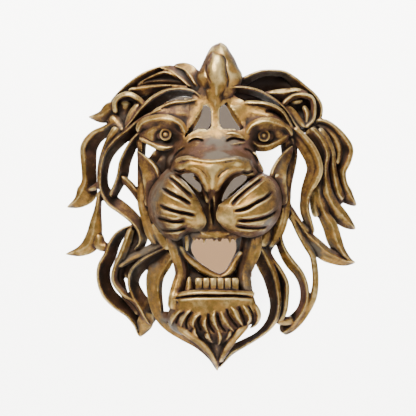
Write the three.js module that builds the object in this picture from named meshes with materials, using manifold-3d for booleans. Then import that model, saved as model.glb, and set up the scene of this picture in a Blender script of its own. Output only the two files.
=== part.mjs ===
// Lion head wall mask: one openwork casting of a roaring lion's face, with the locks of its mane as
// curved ribs and open air between them. Millimetres, +Z up, and +X to the right of someone facing it.
// The wall is the plane y = 0, the face looks along -Y, and the origin is the flat hanging boss behind
// the crest, where the mask meets the wall.
import * as THREE from 'three';
import { mergeVertices } from 'three/addons/utils/BufferGeometryUtils.js';
import Module from 'manifold-3d';

const MASK_HEIGHT = 300;
const MASK_WIDTH = 265;
const MASK_PROJECTION = 96;
const ROD_DEPTH = 10;
const SHELL_WALL = 8;
const EYEBALL_DEEP = 9;
const INCISOR_DEEP = 8;
const TOOTH_TIP_RADIUS = 0.6;

const BOSS_WIDTH = 24;
const BOSS_HEIGHT = 36;
const BOSS_TOP = 22;
const BOSS_TAPER = 0.62;
const BOSS_REACH = 42;
const KEYHOLE_ROUND = 9;
const KEYHOLE_SLOT = 4.6;
const KEYHOLE_LENGTH = 8;
const KEYHOLE_DEPTH = 7;
const KEYHOLE_ABOVE_ORIGIN = 8;
const CUT_OVERSHOOT = 1;

// The carving is drawn on a face 300 high, 265 wide and 96 deep, and takes its real size from above.
const DRAWN = { height: 300, width: 265, projection: 96 };
const SCALE = {
  x: MASK_WIDTH / DRAWN.width,
  y: MASK_PROJECTION / DRAWN.projection,
  z: MASK_HEIGHT / DRAWN.height,
};

const TIP_WIDTH = 1.2;
const SWEEP_STEPS_PER_STATION = 0.5;
const KEEL_BEHIND_EDGE = 0.6;
const EDGE_OFF_WALL = 0.9;
const KEEL_OFF_WALL = 0.2;
const KEEL_RISE = 0.6;
const PAD_SPOKES = 12;
const PAD_BACK_SHARE = 0.94;
const PAD_RINGS = 3;
const BALL_AROUND = 10;
const BALL_DOWN = 6;
const TOOTH_SIDES = 7;
const TOOTH_DEPTH_TO_WIDTH = 1.2;
const INCISORS_SET_BACK = 0.12;
const KEYHOLE_CURVE_STEPS = 6;
const SAME_POINT = 1e-4;

// A lock is a rib carried through its stations. Each station is the middle of the rib seen from the
// front, x and z, then its width there and how far its ridge stands off the wall. ridge places the
// crest line across the rib, from -1 at one edge to 1 at the other, where travelling down the mask
// puts -1 on the left. fall is how far the edges lie behind the crest line.
const CREST = [
  { ridge: 0, fall: 3, at: [[-21, 18, 10, 34], [-19, 9, 14, 40], [-15, -1, 16, 46], [-8, -12, 14, 50]] },
  { ridge: 0, fall: 3, at: [[20, 12, 10, 38], [17, 2, 14, 43], [11, -7, 14, 48], [5, -14, 10, 51]] },
  { ridge: 0, fall: 3, at: [[-2, 2, 15, 54], [-1, -10, 13, 55], [-1, -20, 7, 54], [-1, -30, 7, 55],
    [-2, -42, 18, 59]] },
];

const FOREHEAD = [
  { ridge: 0.5, fall: 3, at: [[-10, 0, 10, 48], [-16, -9, 13, 50], [-20, -20, 15, 52], [-26, -32, 15, 54],
    [-33, -45, 13, 55]] },
  { ridge: -0.5, fall: 3, at: [[7, -5, 9, 49], [15, -13, 13, 51], [21, -22, 15, 52], [27, -32, 14, 54],
    [32, -44, 13, 55]] },
  { ridge: -0.6, fall: 3, at: [[-16, -11, 5, 50], [-27, -13.5, 6, 50], [-39, -15, 7, 50],
    [-52, -21, 8, 48], [-64, -30, 8, 45]] },
  { ridge: 0, fall: 3, at: [[-24, -26, 14, 53], [-36, -25, 14, 53], [-50, -25, 12, 52],
    [-62, -30, 9, 47]] },
  { ridge: 0.5, fall: 5, at: [[24, -15, 8, 50], [36, -15.5, 9, 51], [48, -17, 8, 51], [58, -22, 8, 48],
    [64, -30, 7, 45], [69, -38, 6, 42]] },
  { ridge: 0, fall: 3, at: [[24, -22, 15, 52], [36, -25, 14, 54], [47, -27, 11, 54], [57, -32, 9, 51],
    [65, -39, 6, 46]] },
];

const EYES = [
  { ridge: 0.3, fall: 6, at: [[-71, -40, 7, 45], [-66, -33, 11, 52], [-54, -29.5, 12, 57],
    [-43, -30, 12, 60], [-34, -34, 11, 60], [-29, -42, 10, 60]] },
  { ridge: 0.3, fall: 6, at: [[28, -42, 10, 60], [34, -35, 11, 60], [43, -32, 12, 60], [53, -33, 12, 57],
    [63, -37, 9, 50], [69, -43, 6, 45]] },
  { ridge: 0, fall: 1, at: [[-66, -41, 10, 40], [-52, -42, 16, 43], [-38, -42, 16, 46]] },
  { ridge: 0, fall: 1, at: [[36, -43, 16, 46], [50, -42, 15, 43], [62, -41, 9, 41]] },
  { ridge: -0.3, fall: 4, at: [[-70, -44, 6, 43], [-60, -48, 8, 47], [-50, -52, 9, 51], [-41, -52, 8, 53],
    [-34, -48, 7, 54]] },
  { ridge: 0.3, fall: 4, at: [[31, -48, 7, 54], [38, -53, 8, 52], [47, -53, 8, 50], [56, -49, 7, 48],
    [66, -43, 5, 44]] },
];
const EYEBALLS = [
  { x: -46, z: -42, across: 11, up: 7, front: 52 },
  { x: 44, z: -43, across: 11, up: 7, front: 52 },
];

const NOSE = [
  { ridge: 0, fall: 9, at: [[-1, -38, 42, 58], [-1, -46, 58, 63], [-2, -54, 54, 72], [-3, -61, 60, 83],
    [-3, -66, 66, 92], [-3, -72, 62, 96], [-4, -76, 40, 95]] },
  { ridge: 0, fall: 4, at: [[-4, -70, 22, 96], [-4, -78, 22, 95], [-4, -86, 16, 93], [-4, -94, 11, 88],
    [-4, -104, 9, 82], [-3, -116, 8, 78], [0, -131, 12, 72]] },
  { ridge: 0, fall: 4, at: [[-14, -70, 14, 92], [-27, -70, 13, 89], [-34, -73, 12, 84], [-40, -79, 7, 76]] },
  { ridge: 0, fall: 4, at: [[10, -70, 14, 92], [23, -70, 13, 89], [29, -74, 12, 84], [34, -80, 7, 76]] },
  { ridge: 0, fall: 3, at: [[-37, -45, 12, 54], [-41, -56, 13, 50], [-47, -68, 12, 48], [-46, -80, 12, 52]] },
  { ridge: 0, fall: 3, at: [[32, -46, 12, 55], [25, -55, 8, 58], [36, -68, 8, 66], [42, -78, 10, 64]] },
];

const CHEEKS = [
  { ridge: 0.7, fall: 7, at: [[-72, -57, 2, 41], [-66, -66, 11, 47], [-60, -75, 16, 52],
    [-58, -86, 17, 54], [-59, -98, 13, 53], [-60, -108, 10, 50]] },
  { ridge: 0, fall: 3, at: [[-68, -46, 10, 42], [-68, -57, 8, 38], [-68, -72, 8, 36],
    [-66.5, -88, 11, 37], [-65, -104, 14, 39], [-61, -118, 15, 40], [-56, -132, 16, 40],
    [-50, -146, 12, 39]] },
  { ridge: -0.7, fall: 6, at: [[70, -52, 2, 41], [65, -60, 9, 45], [59, -70, 13, 50], [56, -81, 16, 53],
    [59, -94, 12, 51], [60, -106, 10, 47]] },
  { ridge: 0, fall: 3, at: [[63.5, -46, 11, 42], [64, -57, 9.5, 38], [66, -70, 9.5, 36],
    [64, -86, 10, 36], [62, -102, 12.5, 38], [59.5, -118, 13, 39], [56, -131, 14, 39],
    [50, -144, 14, 38]] },
  { ridge: 0, fall: 3, at: [[-54, -120, 14, 44], [-48, -134, 14, 44], [-42, -146, 10, 46]] },
  { ridge: 0, fall: 3, at: [[52, -118, 14, 36], [48, -131, 14, 38], [41, -143, 10, 42]] },
];

const JAW = [
  { ridge: 0, fall: 3, at: [[-30, -131, 12, 72], [-8, -131, 11, 70], [8, -131, 11, 70],
    [24, -132, 10, 74]] },
  { ridge: -0.2, fall: 5, at: [[-39, -132, 16, 62], [-36, -146, 14, 58], [-33, -157, 13, 56],
    [-31, -168, 13, 56], [-33, -179, 15, 59], [-36, -190, 15, 64], [-37, -201, 12, 62]] },
  { ridge: 0.2, fall: 5, at: [[33, -130, 18, 62], [31, -146, 20, 59], [28, -157, 17, 57],
    [25, -168, 14, 57], [26, -179, 15, 60], [28, -190, 14, 64], [30, -200, 12, 62]] },
  { ridge: -0.85, fall: 14, at: [[-25, -130, 13, 62], [-29, -146, 13, 52], [-24, -158, 13, 50],
    [-13, -168, 13, 50], [0, -174, 12, 50], [11, -171, 12, 50], [19, -160, 13, 50], [24, -147, 12, 52],
    [22, -130, 12, 62]] },
  { ridge: -0.9, fall: 11, at: [[-34, -176, 22, 56], [-14, -176, 22, 61], [0, -176, 22, 62],
    [12, -176, 22, 61], [28, -176, 22, 56]] },
  { ridge: -0.2, fall: 2, at: [[-42, -191, 5, 58], [-34, -187.5, 5, 64], [-20, -185, 5, 70],
    [0, -185, 5, 72], [20, -185.5, 5, 69], [35, -186.5, 5, 63]] },
  { ridge: 0, fall: 3, at: [[-36, -214, 8, 60], [-26, -221, 9, 64], [-15, -229, 9, 61], [-6, -239, 8, 55],
    [0, -250, 5, 46], [1.5, -257, 1.5, 37]] },
  { ridge: 0, fall: 3, at: [[28, -213, 8, 60], [21, -220, 9, 64], [14, -228, 9, 61], [8, -238, 8, 55],
    [3, -249, 5, 46]] },
  { ridge: 0, fall: 3, at: [[0, -218, 20, 64], [0, -230, 16, 58], [1, -242, 10, 50],
    [1.5, -252, 4, 42]] },
  { ridge: 0, fall: 3, at: [[-54, -206, 8, 38], [-46, -207, 9, 46], [-38, -208, 12, 56]] },
];
const TEETH = [
  { x: -26.5, top: -130, tip: -148, width: 6, front: 67 },
  { x: -27, top: -186, tip: -170, width: 6, front: 66 },
];
const INCISORS = { count: 6, from: -15.5, to: 17, top: -173.5, gum: -184, width: 5.4, front: 66 };

// Broader ribs that lie behind the locks and close the gaps between them.
const UNDER_MANE = [
  { ridge: 0, fall: 3, at: [[-16, 0, 14, 40], [-32, 5, 16, 31], [-48, 4, 18, 25], [-64, 2, 18, 21],
    [-78, -3, 14, 20], [-90, -12, 10, 20]] },
  { ridge: 0, fall: 3, at: [[-56, -6, 10, 30], [-68, -7, 12, 26], [-80, -8, 14, 24],
    [-90, -12, 10, 23]] },
  { ridge: 0, fall: 3, at: [[18, 0, 14, 36], [34, 4, 18, 26], [52, 5, 18, 19], [68, 2, 16, 19],
    [82, -6, 12, 20]] },
  { ridge: 0, fall: 3, at: [[19, -8, 11, 44], [30, -8, 11, 38], [44, -9, 13, 31], [56, -12, 14, 28],
    [66, -18, 12, 29]] },
  { ridge: 0, fall: 3, at: [[84, -36, 12, 34], [93, -46, 12, 32], [97, -58, 12, 29], [97, -72, 11, 27],
    [95, -85, 13, 25], [93, -96, 14, 25], [96, -106, 12, 24], [100, -114, 10, 22]] },
  { ridge: 0, fall: 3, at: [[96, -42, 8, 29], [103, -54, 8, 27], [104, -68, 8, 24], [105, -82, 9, 22],
    [108, -96, 11, 19], [114, -106, 10, 15]] },
  { ridge: 0, fall: 3, at: [[-66, -143, 12, 33], [-77, -149, 14, 29], [-84, -158, 13, 25],
    [-88, -170, 8, 23], [-88, -180, 7, 23], [-83, -190, 6, 23], [-76, -198, 6, 22], [-70, -206, 6, 21]] },
  { ridge: 0, fall: 3, at: [[91, -33, 6, 27], [101, -37, 8, 24], [109, -46, 8, 22], [112, -56, 8, 20],
    [110, -69, 7, 19]] },
];

const LEFT_MANE = [
  { ridge: 0.6, fall: 4, at: [[-16, 3, 7, 45], [-22, 15, 11, 40], [-28, 20.5, 9, 35], [-38, 22, 3, 31]] },
  { ridge: 0.7, fall: 6, at: [[-22, 3, 7, 44], [-32, 13.5, 10, 38], [-42, 19, 6, 33], [-51, 20, 3, 30]] },
  { ridge: -0.8, fall: 7, at: [[-42, 20, 5, 31], [-55, 16.5, 7, 29], [-66, 11, 9, 27], [-76, 3.5, 10, 24],
    [-86, -4.5, 9, 19], [-97, -11, 1.2, 13]] },
  { ridge: -0.7, fall: 6, at: [[-34, 7, 5, 36], [-46, 12, 9, 34], [-56, 10, 7, 31], [-64, 7, 5, 28],
    [-71, 4, 2, 26]] },
  { ridge: -0.6, fall: 4, at: [[-26, 0, 5, 46], [-42, 1, 6, 41], [-56, 0, 8, 36], [-67, -2, 10, 33],
    [-80, -2, 6, 30]] },
  { ridge: -0.7, fall: 9, at: [[-14, -11, 6, 50], [-21, -5, 7, 50], [-31, -3, 8, 48], [-43, -5, 11, 45],
    [-52, -10, 13, 43], [-60, -16, 13, 41], [-68, -24, 12, 39], [-76, -32, 8, 37], [-83, -38, 5, 36]] },
  { ridge: -0.3, fall: 3, at: [[-92, -22, 5, 30], [-92, -11, 5, 33], [-86, -6, 5, 36], [-79, -5, 5, 38],
    [-71, -9, 5, 38], [-64, -16, 5, 38]] },
  { ridge: 0, fall: 3, at: [[-70, -13, 5, 35], [-74, -20, 9, 35], [-78, -28, 9, 35], [-82, -36, 5, 35]] },
  { ridge: 0, fall: 3, at: [[-85, -11, 14, 27], [-83, -20, 18, 26], [-83, -30, 12, 29]] },
  { ridge: -0.3, fall: 4, at: [[-88, -17, 15, 28], [-96, -21, 19, 24], [-105, -25, 12, 18],
    [-117, -25, 1.5, 10]] },
  { ridge: 0, fall: 4, at: [[-96, -24, 12, 26], [-90, -31, 14, 30], [-85, -38, 11, 35]] },
  { ridge: -0.7, fall: 8, at: [[-48, -20, 6, 50], [-60, -26, 8, 46], [-70, -32.5, 9, 42],
    [-79, -40.5, 10, 38], [-89.5, -49, 10.5, 35], [-97.5, -58.5, 10, 32], [-101.5, -69, 9, 30],
    [-103, -81, 8.5, 28], [-102, -91, 9.5, 29], [-95.5, -101.5, 12, 30], [-86, -108.5, 12, 32],
    [-76.5, -116.5, 11, 34], [-69.5, -125, 10, 36], [-66.5, -134, 9, 37], [-68, -142, 7, 36],
    [-74, -147, 4, 34]] },
  { ridge: -0.4, fall: 4, at: [[-89, -36, 11, 36], [-97, -47, 8, 33], [-102, -58, 7, 30],
    [-105.5, -70, 6, 27], [-106.5, -82, 5, 26], [-105, -92, 6, 26]] },
  { ridge: -0.7, fall: 8, at: [[-68, -41, 7, 42], [-74, -48, 8.5, 40], [-79, -57, 10, 37],
    [-83.5, -68, 11, 35], [-85.5, -79, 11, 33], [-90, -89, 9, 31], [-95, -99, 8, 30]] },
  { ridge: 0.3, fall: 4, at: [[-87, -81, 6.5, 31], [-80, -89, 6, 32], [-73.5, -97.5, 6, 34],
    [-67.5, -107.5, 6.5, 35], [-63, -118, 8.5, 36], [-60, -128, 11, 37]] },
  { ridge: -0.5, fall: 6, at: [[-92, -31, 7, 27], [-102, -38.5, 11, 21], [-110.5, -44, 14, 18],
    [-116.5, -53, 16, 16], [-117, -64, 15, 15], [-116.5, -75, 14, 14], [-116.5, -85, 14.5, 14],
    [-119, -95, 19.5, 13], [-126, -103, 12, 10], [-137, -108, 1.5, 8]] },
  { ridge: -0.2, fall: 4, at: [[-106, -93, 5, 26], [-108.5, -110, 7, 22], [-110.5, -122, 12, 20],
    [-112.5, -133, 16, 18], [-116, -141.5, 17, 15], [-124.5, -147.5, 10, 12], [-138, -151, 1.5, 8]] },
  { ridge: 0, fall: 3, at: [[-108, -132, 9, 18], [-106, -142, 11, 19], [-99, -145, 8, 22]] },
  { ridge: -0.7, fall: 8, at: [[-72, -127, 7, 33], [-83, -127.5, 7, 30], [-90, -133, 10, 28],
    [-95.5, -142, 11, 26], [-99.5, -152, 11.5, 24], [-102.5, -163, 13, 23], [-103, -174, 13, 22],
    [-99, -186, 13, 22], [-89.5, -196, 12.5, 22], [-78.5, -204.5, 11, 20], [-71.5, -215, 9.5, 16],
    [-70.5, -226, 3, 11]] },
  { ridge: -0.3, fall: 4, at: [[-77, -127, 7, 33], [-80.5, -138, 8, 34], [-85.5, -151, 8, 33],
    [-91.5, -163, 6, 31], [-93, -174, 6, 30], [-86, -185, 6, 30], [-75, -193, 6, 29], [-67, -203, 7, 27],
    [-63, -214, 8, 22]] },
  { ridge: -0.3, fall: 4, at: [[-90, -162, 6, 30], [-78, -154, 9, 32], [-66, -149, 9, 36],
    [-54, -143, 9, 40], [-45, -137, 9, 45]] },
  { ridge: -0.7, fall: 9, at: [[-43, -146, 7, 43], [-55, -152.5, 9, 40], [-65, -159, 11, 38],
    [-73.5, -168, 12, 34], [-75.5, -178, 11, 32], [-72.5, -188, 11.5, 31], [-66, -197, 13, 30],
    [-61, -207, 13, 26], [-59, -215, 7, 23]] },
  { ridge: 0, fall: 3, at: [[-63, -204, 12, 26], [-65, -214, 15, 21], [-68, -221, 10, 15],
    [-70, -227, 3, 11]] },
  { ridge: 0.5, fall: 6, at: [[-41, -149, 13, 43], [-49, -158, 18, 39], [-55, -169, 17, 37],
    [-56.5, -182, 15, 36], [-54.5, -197, 13, 36], [-51, -208, 10, 38], [-43, -217, 9, 41],
    [-30, -225, 9, 43], [-16, -233.5, 9, 44], [-5, -245, 7, 41], [1, -257, 1.5, 37]] },
];

const RIGHT_MANE = [
  { ridge: 0.6, fall: 6, at: [[19, 3, 9, 42], [29, 8.3, 7.5, 37], [40, 13.5, 6, 34], [52, 15, 5, 31],
    [62, 13.5, 6, 29], [70.5, 7.3, 8, 27], [79, 0, 8.5, 26], [88, -7, 9, 24], [92, -15, 9, 23],
    [92.5, -23, 8, 23], [90, -31, 8, 26]] },
  { ridge: 0.3, fall: 4, at: [[42, -5, 4, 38], [52, -5, 8, 37], [63, -5, 11, 35], [74, -3, 8, 32],
    [84, -6, 6, 30]] },
  { ridge: 0.6, fall: 8, at: [[4, -9, 7, 50], [9, -3, 8, 50], [18, -1.5, 9, 49], [28, -1.5, 7, 48],
    [38, -4, 7, 46], [47, -8.5, 7, 44], [57, -15.5, 7, 42], [64, -23, 7, 40], [70, -33, 7, 39],
    [76, -40, 7, 39]] },
  { ridge: 0.3, fall: 3, at: [[60, -16, 5, 38], [65, -10.5, 5, 38], [72, -6.5, 5, 38], [80, -6, 5, 38],
    [87, -9, 5, 36], [89, -18, 5, 34], [87.5, -28, 5, 34], [81, -35, 5, 36]] },
  { ridge: 0, fall: 3, at: [[62, -16, 6, 37], [67, -21, 10, 37], [73, -28, 10, 36], [81, -35, 5, 36]] },
  { ridge: 0, fall: 2, at: [[77, -10, 14, 26], [79, -20, 18, 24], [80, -31, 12, 28]] },
  { ridge: 0.6, fall: 6, at: [[68, -37, 10, 42], [75.5, -44.5, 13, 42], [83, -54.5, 15, 42],
    [88, -64, 15, 42], [90, -74, 15, 41], [87, -83, 14, 39], [83, -92, 11, 36], [81, -101, 9, 34],
    [81, -111, 9, 33], [84, -121, 8, 32], [88, -132, 6, 31]] },
  { ridge: 0.3, fall: 5, at: [[86, -36, 7, 38], [95, -47, 9, 36], [100, -59, 8, 34], [99, -71, 7, 31],
    [99, -83, 10, 28], [100, -95, 14, 26], [105.5, -106.5, 15, 22], [113, -115.5, 15, 18],
    [120.5, -122.5, 11, 13], [128, -128, 3, 9]] },
  { ridge: 0, fall: 4, at: [[94, -36, 6, 32], [101, -46, 7, 31], [106, -58, 6, 30], [107, -71, 6, 28],
    [109, -83, 7, 26], [112, -95, 9, 22], [116, -101, 7, 18]] },
  { ridge: 0.5, fall: 7, at: [[91, -30, 8, 28], [100, -32, 9, 26], [108, -38, 10.5, 24],
    [115, -47, 13, 22], [119, -55, 14, 20], [117.5, -65, 13, 20], [114, -75, 11, 20], [115, -86, 11, 19],
    [119, -97, 14, 16], [128.5, -106.5, 3.5, 11]] },
  { ridge: 0.4, fall: 5, at: [[67, -44, 8, 40], [70.5, -58, 8, 34], [69.5, -70, 7, 33], [66, -86, 7, 33],
    [64, -102, 8, 33], [68, -114, 8, 33], [75, -123, 8, 32], [84, -132, 8, 31]] },
  { ridge: 0.3, fall: 5, at: [[65, -107, 8, 33], [74, -122, 9, 32], [82, -133.5, 11, 31],
    [90.5, -142, 13, 29], [99, -150, 14, 25], [108, -154.5, 12, 20], [118, -158, 8, 14],
    [128, -158.5, 2.5, 9]] },
  { ridge: 0.3, fall: 5, at: [[92, -90, 10, 26], [94, -103, 10, 25], [98, -114, 11, 24],
    [104, -126, 13, 23], [108, -138, 13, 21], [113.5, -148, 11, 18], [120, -155, 7, 14],
    [127, -159, 2, 9]] },
  { ridge: -0.3, fall: 3, at: [[69, -114, 7, 33], [75.5, -130, 6, 32], [82.5, -142, 7, 30],
    [88, -152, 6, 28], [91, -165, 5, 26], [91.5, -178, 5, 24], [89.5, -190, 6, 23], [84.5, -200, 7, 22],
    [77.5, -210, 8, 19], [70, -218, 8, 15], [63, -225, 3, 11]] },
  { ridge: 0.5, fall: 6, at: [[62, -110, 7, 37], [58.5, -124, 6, 36], [57.5, -137, 7, 35],
    [61.5, -148, 7, 34], [68, -158.5, 8.5, 32], [75.5, -168.5, 9, 30], [80.5, -179, 8.5, 28],
    [81, -191, 8.5, 26], [77.5, -202, 8, 24], [71, -210.5, 10, 20], [65, -216, 13, 16],
    [60, -223, 6, 13]] },
  { ridge: 0.5, fall: 7, at: [[38, -146, 12, 41], [43.5, -158, 15, 38], [48.5, -170.5, 15, 36],
    [52, -183, 13, 35], [54, -197, 11, 35], [52, -209, 10, 36], [46, -218, 8, 38], [36, -226, 6.5, 40],
    [25, -232, 7.5, 42], [13, -239, 8, 43], [2, -254, 3, 38]] },
  { ridge: 0.3, fall: 4, at: [[43, -142, 8, 36], [50.5, -156, 6.5, 33], [57.5, -166, 7, 31],
    [62.5, -178, 7, 30], [62.5, -191, 7, 30], [60.5, -203, 8, 30], [57, -212, 7, 31]] },
  { ridge: 0, fall: 3, at: [[55, -211, 8, 31], [62, -212, 8, 27], [71, -211, 8, 21]] },
];

// A pad is a domed shell over an outline. Each outline point is x, z and how far the rim stands off
// the wall there; the dome rises from the rim to its top over the middle.
const PADS = [
  { x: 3, z: 14, top: 52, fullness: 0.55, rim: [[4, 43, 27], [8.5, 40, 29], [12.5, 34, 31],
    [16.3, 28, 33], [19.8, 20, 35], [24, 12, 38], [21, 1, 43], [12, -9, 48], [2, -18, 51], [-8, -11, 48],
    [-16, 0, 42], [-18, 10, 39], [-14, 20, 36], [-10.3, 27, 34], [-7, 34, 31], [-3.5, 39, 29]] },
  { x: 0, z: 12, top: 57, fullness: 0.6, rim: [[-3, 33, 43], [4, 32, 43], [9, 25, 45], [10.5, 14, 47],
    [10, 4, 49], [5, -6, 51], [0, -12, 53], [-4, -5, 51], [-7.5, 3, 49], [-9, 13, 47], [-8, 24, 45]] },
  { x: -34, z: -108, top: 91, fullness: 0.62, rim: [[-50, -78, 52], [-42, -72, 58], [-35, -79, 72],
    [-26, -87, 78], [-18, -98, 80], [-12, -110, 79], [-9, -122, 76], [-14, -129, 70], [-26, -132, 64],
    [-36, -139, 56], [-44, -137, 50], [-54, -127, 46], [-61, -116, 44], [-62, -100, 45],
    [-59, -90, 47]] },
  { x: 29, z: -110, top: 91, fullness: 0.62, rim: [[2, -106, 78], [13, -98, 80], [24, -89, 77],
    [32, -82, 70], [41, -77, 60], [50, -80, 52], [57, -88, 47], [60, -100, 44], [58, -115, 44],
    [52, -125, 46], [44, -132, 52], [32, -135.5, 60], [18, -133, 66], [7, -127, 72], [0, -117, 77]] },
  { x: -3, z: -203, top: 75, fullness: 0.55, rim: [[-36, -190, 60], [-22, -189, 67], [0, -188, 70],
    [20, -189, 67], [33, -191, 60], [37, -201, 55], [37.5, -210, 50], [30, -215.5, 52], [23, -222, 52],
    [8, -233, 48], [-6, -233, 48], [-22, -226, 48], [-34, -223, 48], [-43, -215, 46], [-43, -201, 52]] },
];

const wasm = await Module();
wasm.setup();

// A point of the drawing, x across, z up and depth off the wall, at the mask's real size.
function placed(x, z, depth) {
  return [x * SCALE.x, -depth * SCALE.y, z * SCALE.z];
}

// The triangles between neighbouring rings of equal length.
function bandTriangles(ringCount, count) {
  const triangles = [];
  for (let ring = 0; ring + 1 < ringCount; ring += 1) {
    for (let side = 0; side < count; side += 1) {
      const a = ring * count + side;
      const b = ring * count + ((side + 1) % count);
      triangles.push(a, b, a + count, b, b + count, a + count);
    }
  }
  return triangles;
}

// A solid from rings of equal length, each joined to the next, with both end rings closed.
function solidFromRings(rings) {
  const count = rings[0].length;
  const corners = rings.flat();
  const triangles = bandTriangles(rings.length, count);
  const last = (rings.length - 1) * count;
  for (let side = 1; side + 1 < count; side += 1) {
    triangles.push(0, side + 1, side);
    triangles.push(last, last + side, last + side + 1);
  }
  return solidFromTriangles(corners, triangles);
}

// A closed solid from corner points and triangles, turned inside out if its volume comes out negative.
function solidFromTriangles(corners, triangles) {
  let shape = new THREE.BufferGeometry();
  shape.setAttribute('position', new THREE.Float32BufferAttribute(corners.flat(), 3));
  shape.setIndex(triangles);
  shape = mergeVertices(shape, SAME_POINT);
  const position = shape.getAttribute('position');
  const order = Array.from(shape.getIndex().array);
  if (signedVolume(position, order) < 0) {
    order.reverse();
  }
  return new wasm.Manifold(new wasm.Mesh({
    numProp: 3,
    vertProperties: new Float32Array(position.array),
    triVerts: new Uint32Array(order),
  }));
}

function signedVolume(position, order) {
  const [a, b, c] = [new THREE.Vector3(), new THREE.Vector3(), new THREE.Vector3()];
  let total = 0;
  for (let start = 0; start < order.length; start += 3) {
    a.fromBufferAttribute(position, order[start]);
    b.fromBufferAttribute(position, order[start + 1]);
    c.fromBufferAttribute(position, order[start + 2]);
    total += a.dot(b.cross(c)) / 6;
  }
  return total;
}

// A three.js geometry as a solid.
function solidFromGeometry(source) {
  const bare = source.clone();
  bare.deleteAttribute('normal');
  bare.deleteAttribute('uv');
  const shape = mergeVertices(bare, SAME_POINT);
  return new wasm.Manifold(new wasm.Mesh({
    numProp: 3,
    vertProperties: new Float32Array(shape.getAttribute('position').array),
    triVerts: new Uint32Array(shape.getIndex().array),
  }));
}

function valueAlong(values, t) {
  const place = t * (values.length - 1);
  const first = Math.min(Math.floor(place), values.length - 2);
  return THREE.MathUtils.lerp(values[first], values[first + 1], place - first);
}

// One rib of hair: a four-sided section, two edges, a ridge in front and a keel behind, along a curve.
function lockSolid({ at, ridge, fall }, deep) {
  const path = new THREE.CatmullRomCurve3(at.map(([x, z, , depth]) => new THREE.Vector3(x, depth, z)));
  const widths = at.map(([, , width]) => Math.max(width, TIP_WIDTH));
  const steps = Math.round((at.length - 1) * SWEEP_STEPS_PER_STATION);
  const rings = [];
  for (let step = 0; step <= steps; step += 1) {
    const t = step / steps;
    const middle = path.getPoint(t);
    const ahead = path.getTangent(t);
    const side = new THREE.Vector2(-ahead.z, ahead.x).normalize();
    const half = valueAlong(widths, t) / 2;
    const across = (u, depth) => placed(middle.x + side.x * half * u, middle.z + side.y * half * u, depth);
    const back = Math.max(middle.y - fall * KEEL_RISE - deep / SCALE.y, KEEL_OFF_WALL);
    const edge = Math.max(middle.y - fall, EDGE_OFF_WALL);
    rings.push([
      across(-1, edge),
      across(ridge, middle.y),
      across(1, edge),
      across(0, Math.min(back, edge - KEEL_BEHIND_EDGE)),
    ]);
  }
  return solidFromRings(rings);
}

// A domed shell: rings shrink from the rim to the middle, in front and again one wall behind.
function padSolid({ x, z, top, fullness, rim }, wall) {
  const corners = rim.map(([rimX, rimZ, depth]) => new THREE.Vector3(rimX, depth, rimZ));
  const outline = new THREE.CatmullRomCurve3(corners, true);
  const rimPoints = outline.getSpacedPoints(PAD_SPOKES).slice(0, PAD_SPOKES);
  const ringAt = (share, behind) => rimPoints.map((point) => {
    const rise = Math.pow(1 - Math.pow(share, 2), fullness);
    const depth = THREE.MathUtils.lerp(point.y, top, rise);
    return placed(x + (point.x - x) * share, z + (point.z - z) * share, depth - behind / SCALE.y);
  });
  const rings = [];
  for (let ring = 1; ring <= PAD_RINGS; ring += 1) {
    rings.push(ringAt(Math.sin((ring / PAD_RINGS) * Math.PI / 2), 0));
  }
  for (let ring = PAD_RINGS; ring >= 1; ring -= 1) {
    const share = Math.sin((ring / PAD_RINGS) * Math.PI / 2);
    rings.push(ringAt(share * PAD_BACK_SHARE, wall));
  }
  const count = PAD_SPOKES;
  const points = rings.flat();
  const triangles = bandTriangles(rings.length, count);
  const frontMiddle = points.length;
  points.push(placed(x, z, top));
  const backMiddle = points.length;
  points.push(placed(x, z, top - wall / SCALE.y));
  const last = (rings.length - 1) * count;
  for (let side = 0; side < count; side += 1) {
    const next = (side + 1) % count;
    triangles.push(frontMiddle, next, side);
    triangles.push(backMiddle, last + side, last + next);
  }
  return solidFromTriangles(points, triangles);
}

function eyeballSolid({ x, z, across, up, front }) {
  const ball = new THREE.SphereGeometry(1, BALL_AROUND, BALL_DOWN);
  ball.scale(across * SCALE.x, EYEBALL_DEEP * SCALE.y, up * SCALE.z);
  ball.translate(...placed(x, z, front - EYEBALL_DEEP));
  return solidFromGeometry(ball);
}

// A tooth is a short cone that points the way its tip lies.
function toothSolid({ x, top, tip, width, front }) {
  const length = Math.abs(top - tip);
  const cone = new THREE.CylinderGeometry(TOOTH_TIP_RADIUS, width / 2, length, TOOTH_SIDES);
  if (tip < top) {
    cone.rotateX(-Math.PI / 2);
  } else {
    cone.rotateX(Math.PI / 2);
  }
  cone.scale(SCALE.x, SCALE.y * TOOTH_DEPTH_TO_WIDTH, SCALE.z);
  cone.translate(...placed(x, (top + tip) / 2, front - width / 2));
  return solidFromGeometry(cone);
}

function incisorSolids() {
  const { count, from, to, top, gum, width, front } = INCISORS;
  return Array.from({ length: count }, (_, index) => {
    const x = from + ((to - from) * index) / (count - 1);
    const tooth = new THREE.BoxGeometry(width * SCALE.x, INCISOR_DEEP * SCALE.y, (top - gum) * SCALE.z);
    const setBack = INCISOR_DEEP / 2 + Math.abs(x) * INCISORS_SET_BACK;
    tooth.translate(...placed(x, (top + gum) / 2, front - setBack));
    return solidFromGeometry(tooth);
  });
}

// The boss behind the crest: a tapered block with its wide flat face on the wall.
function bossSolid() {
  const reach = BOSS_REACH * SCALE.y;
  const middleZ = BOSS_TOP - BOSS_HEIGHT / 2;
  const ringAt = (y, share) => [[-1, -1], [1, -1], [1, 1], [-1, 1]].map(([sx, sz]) => [
    (sx * BOSS_WIDTH * share) / 2, y, middleZ + (sz * BOSS_HEIGHT * share) / 2,
  ]);
  return solidFromRings([ringAt(0, 1), ringAt(-reach, BOSS_TAPER)]);
}

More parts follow.
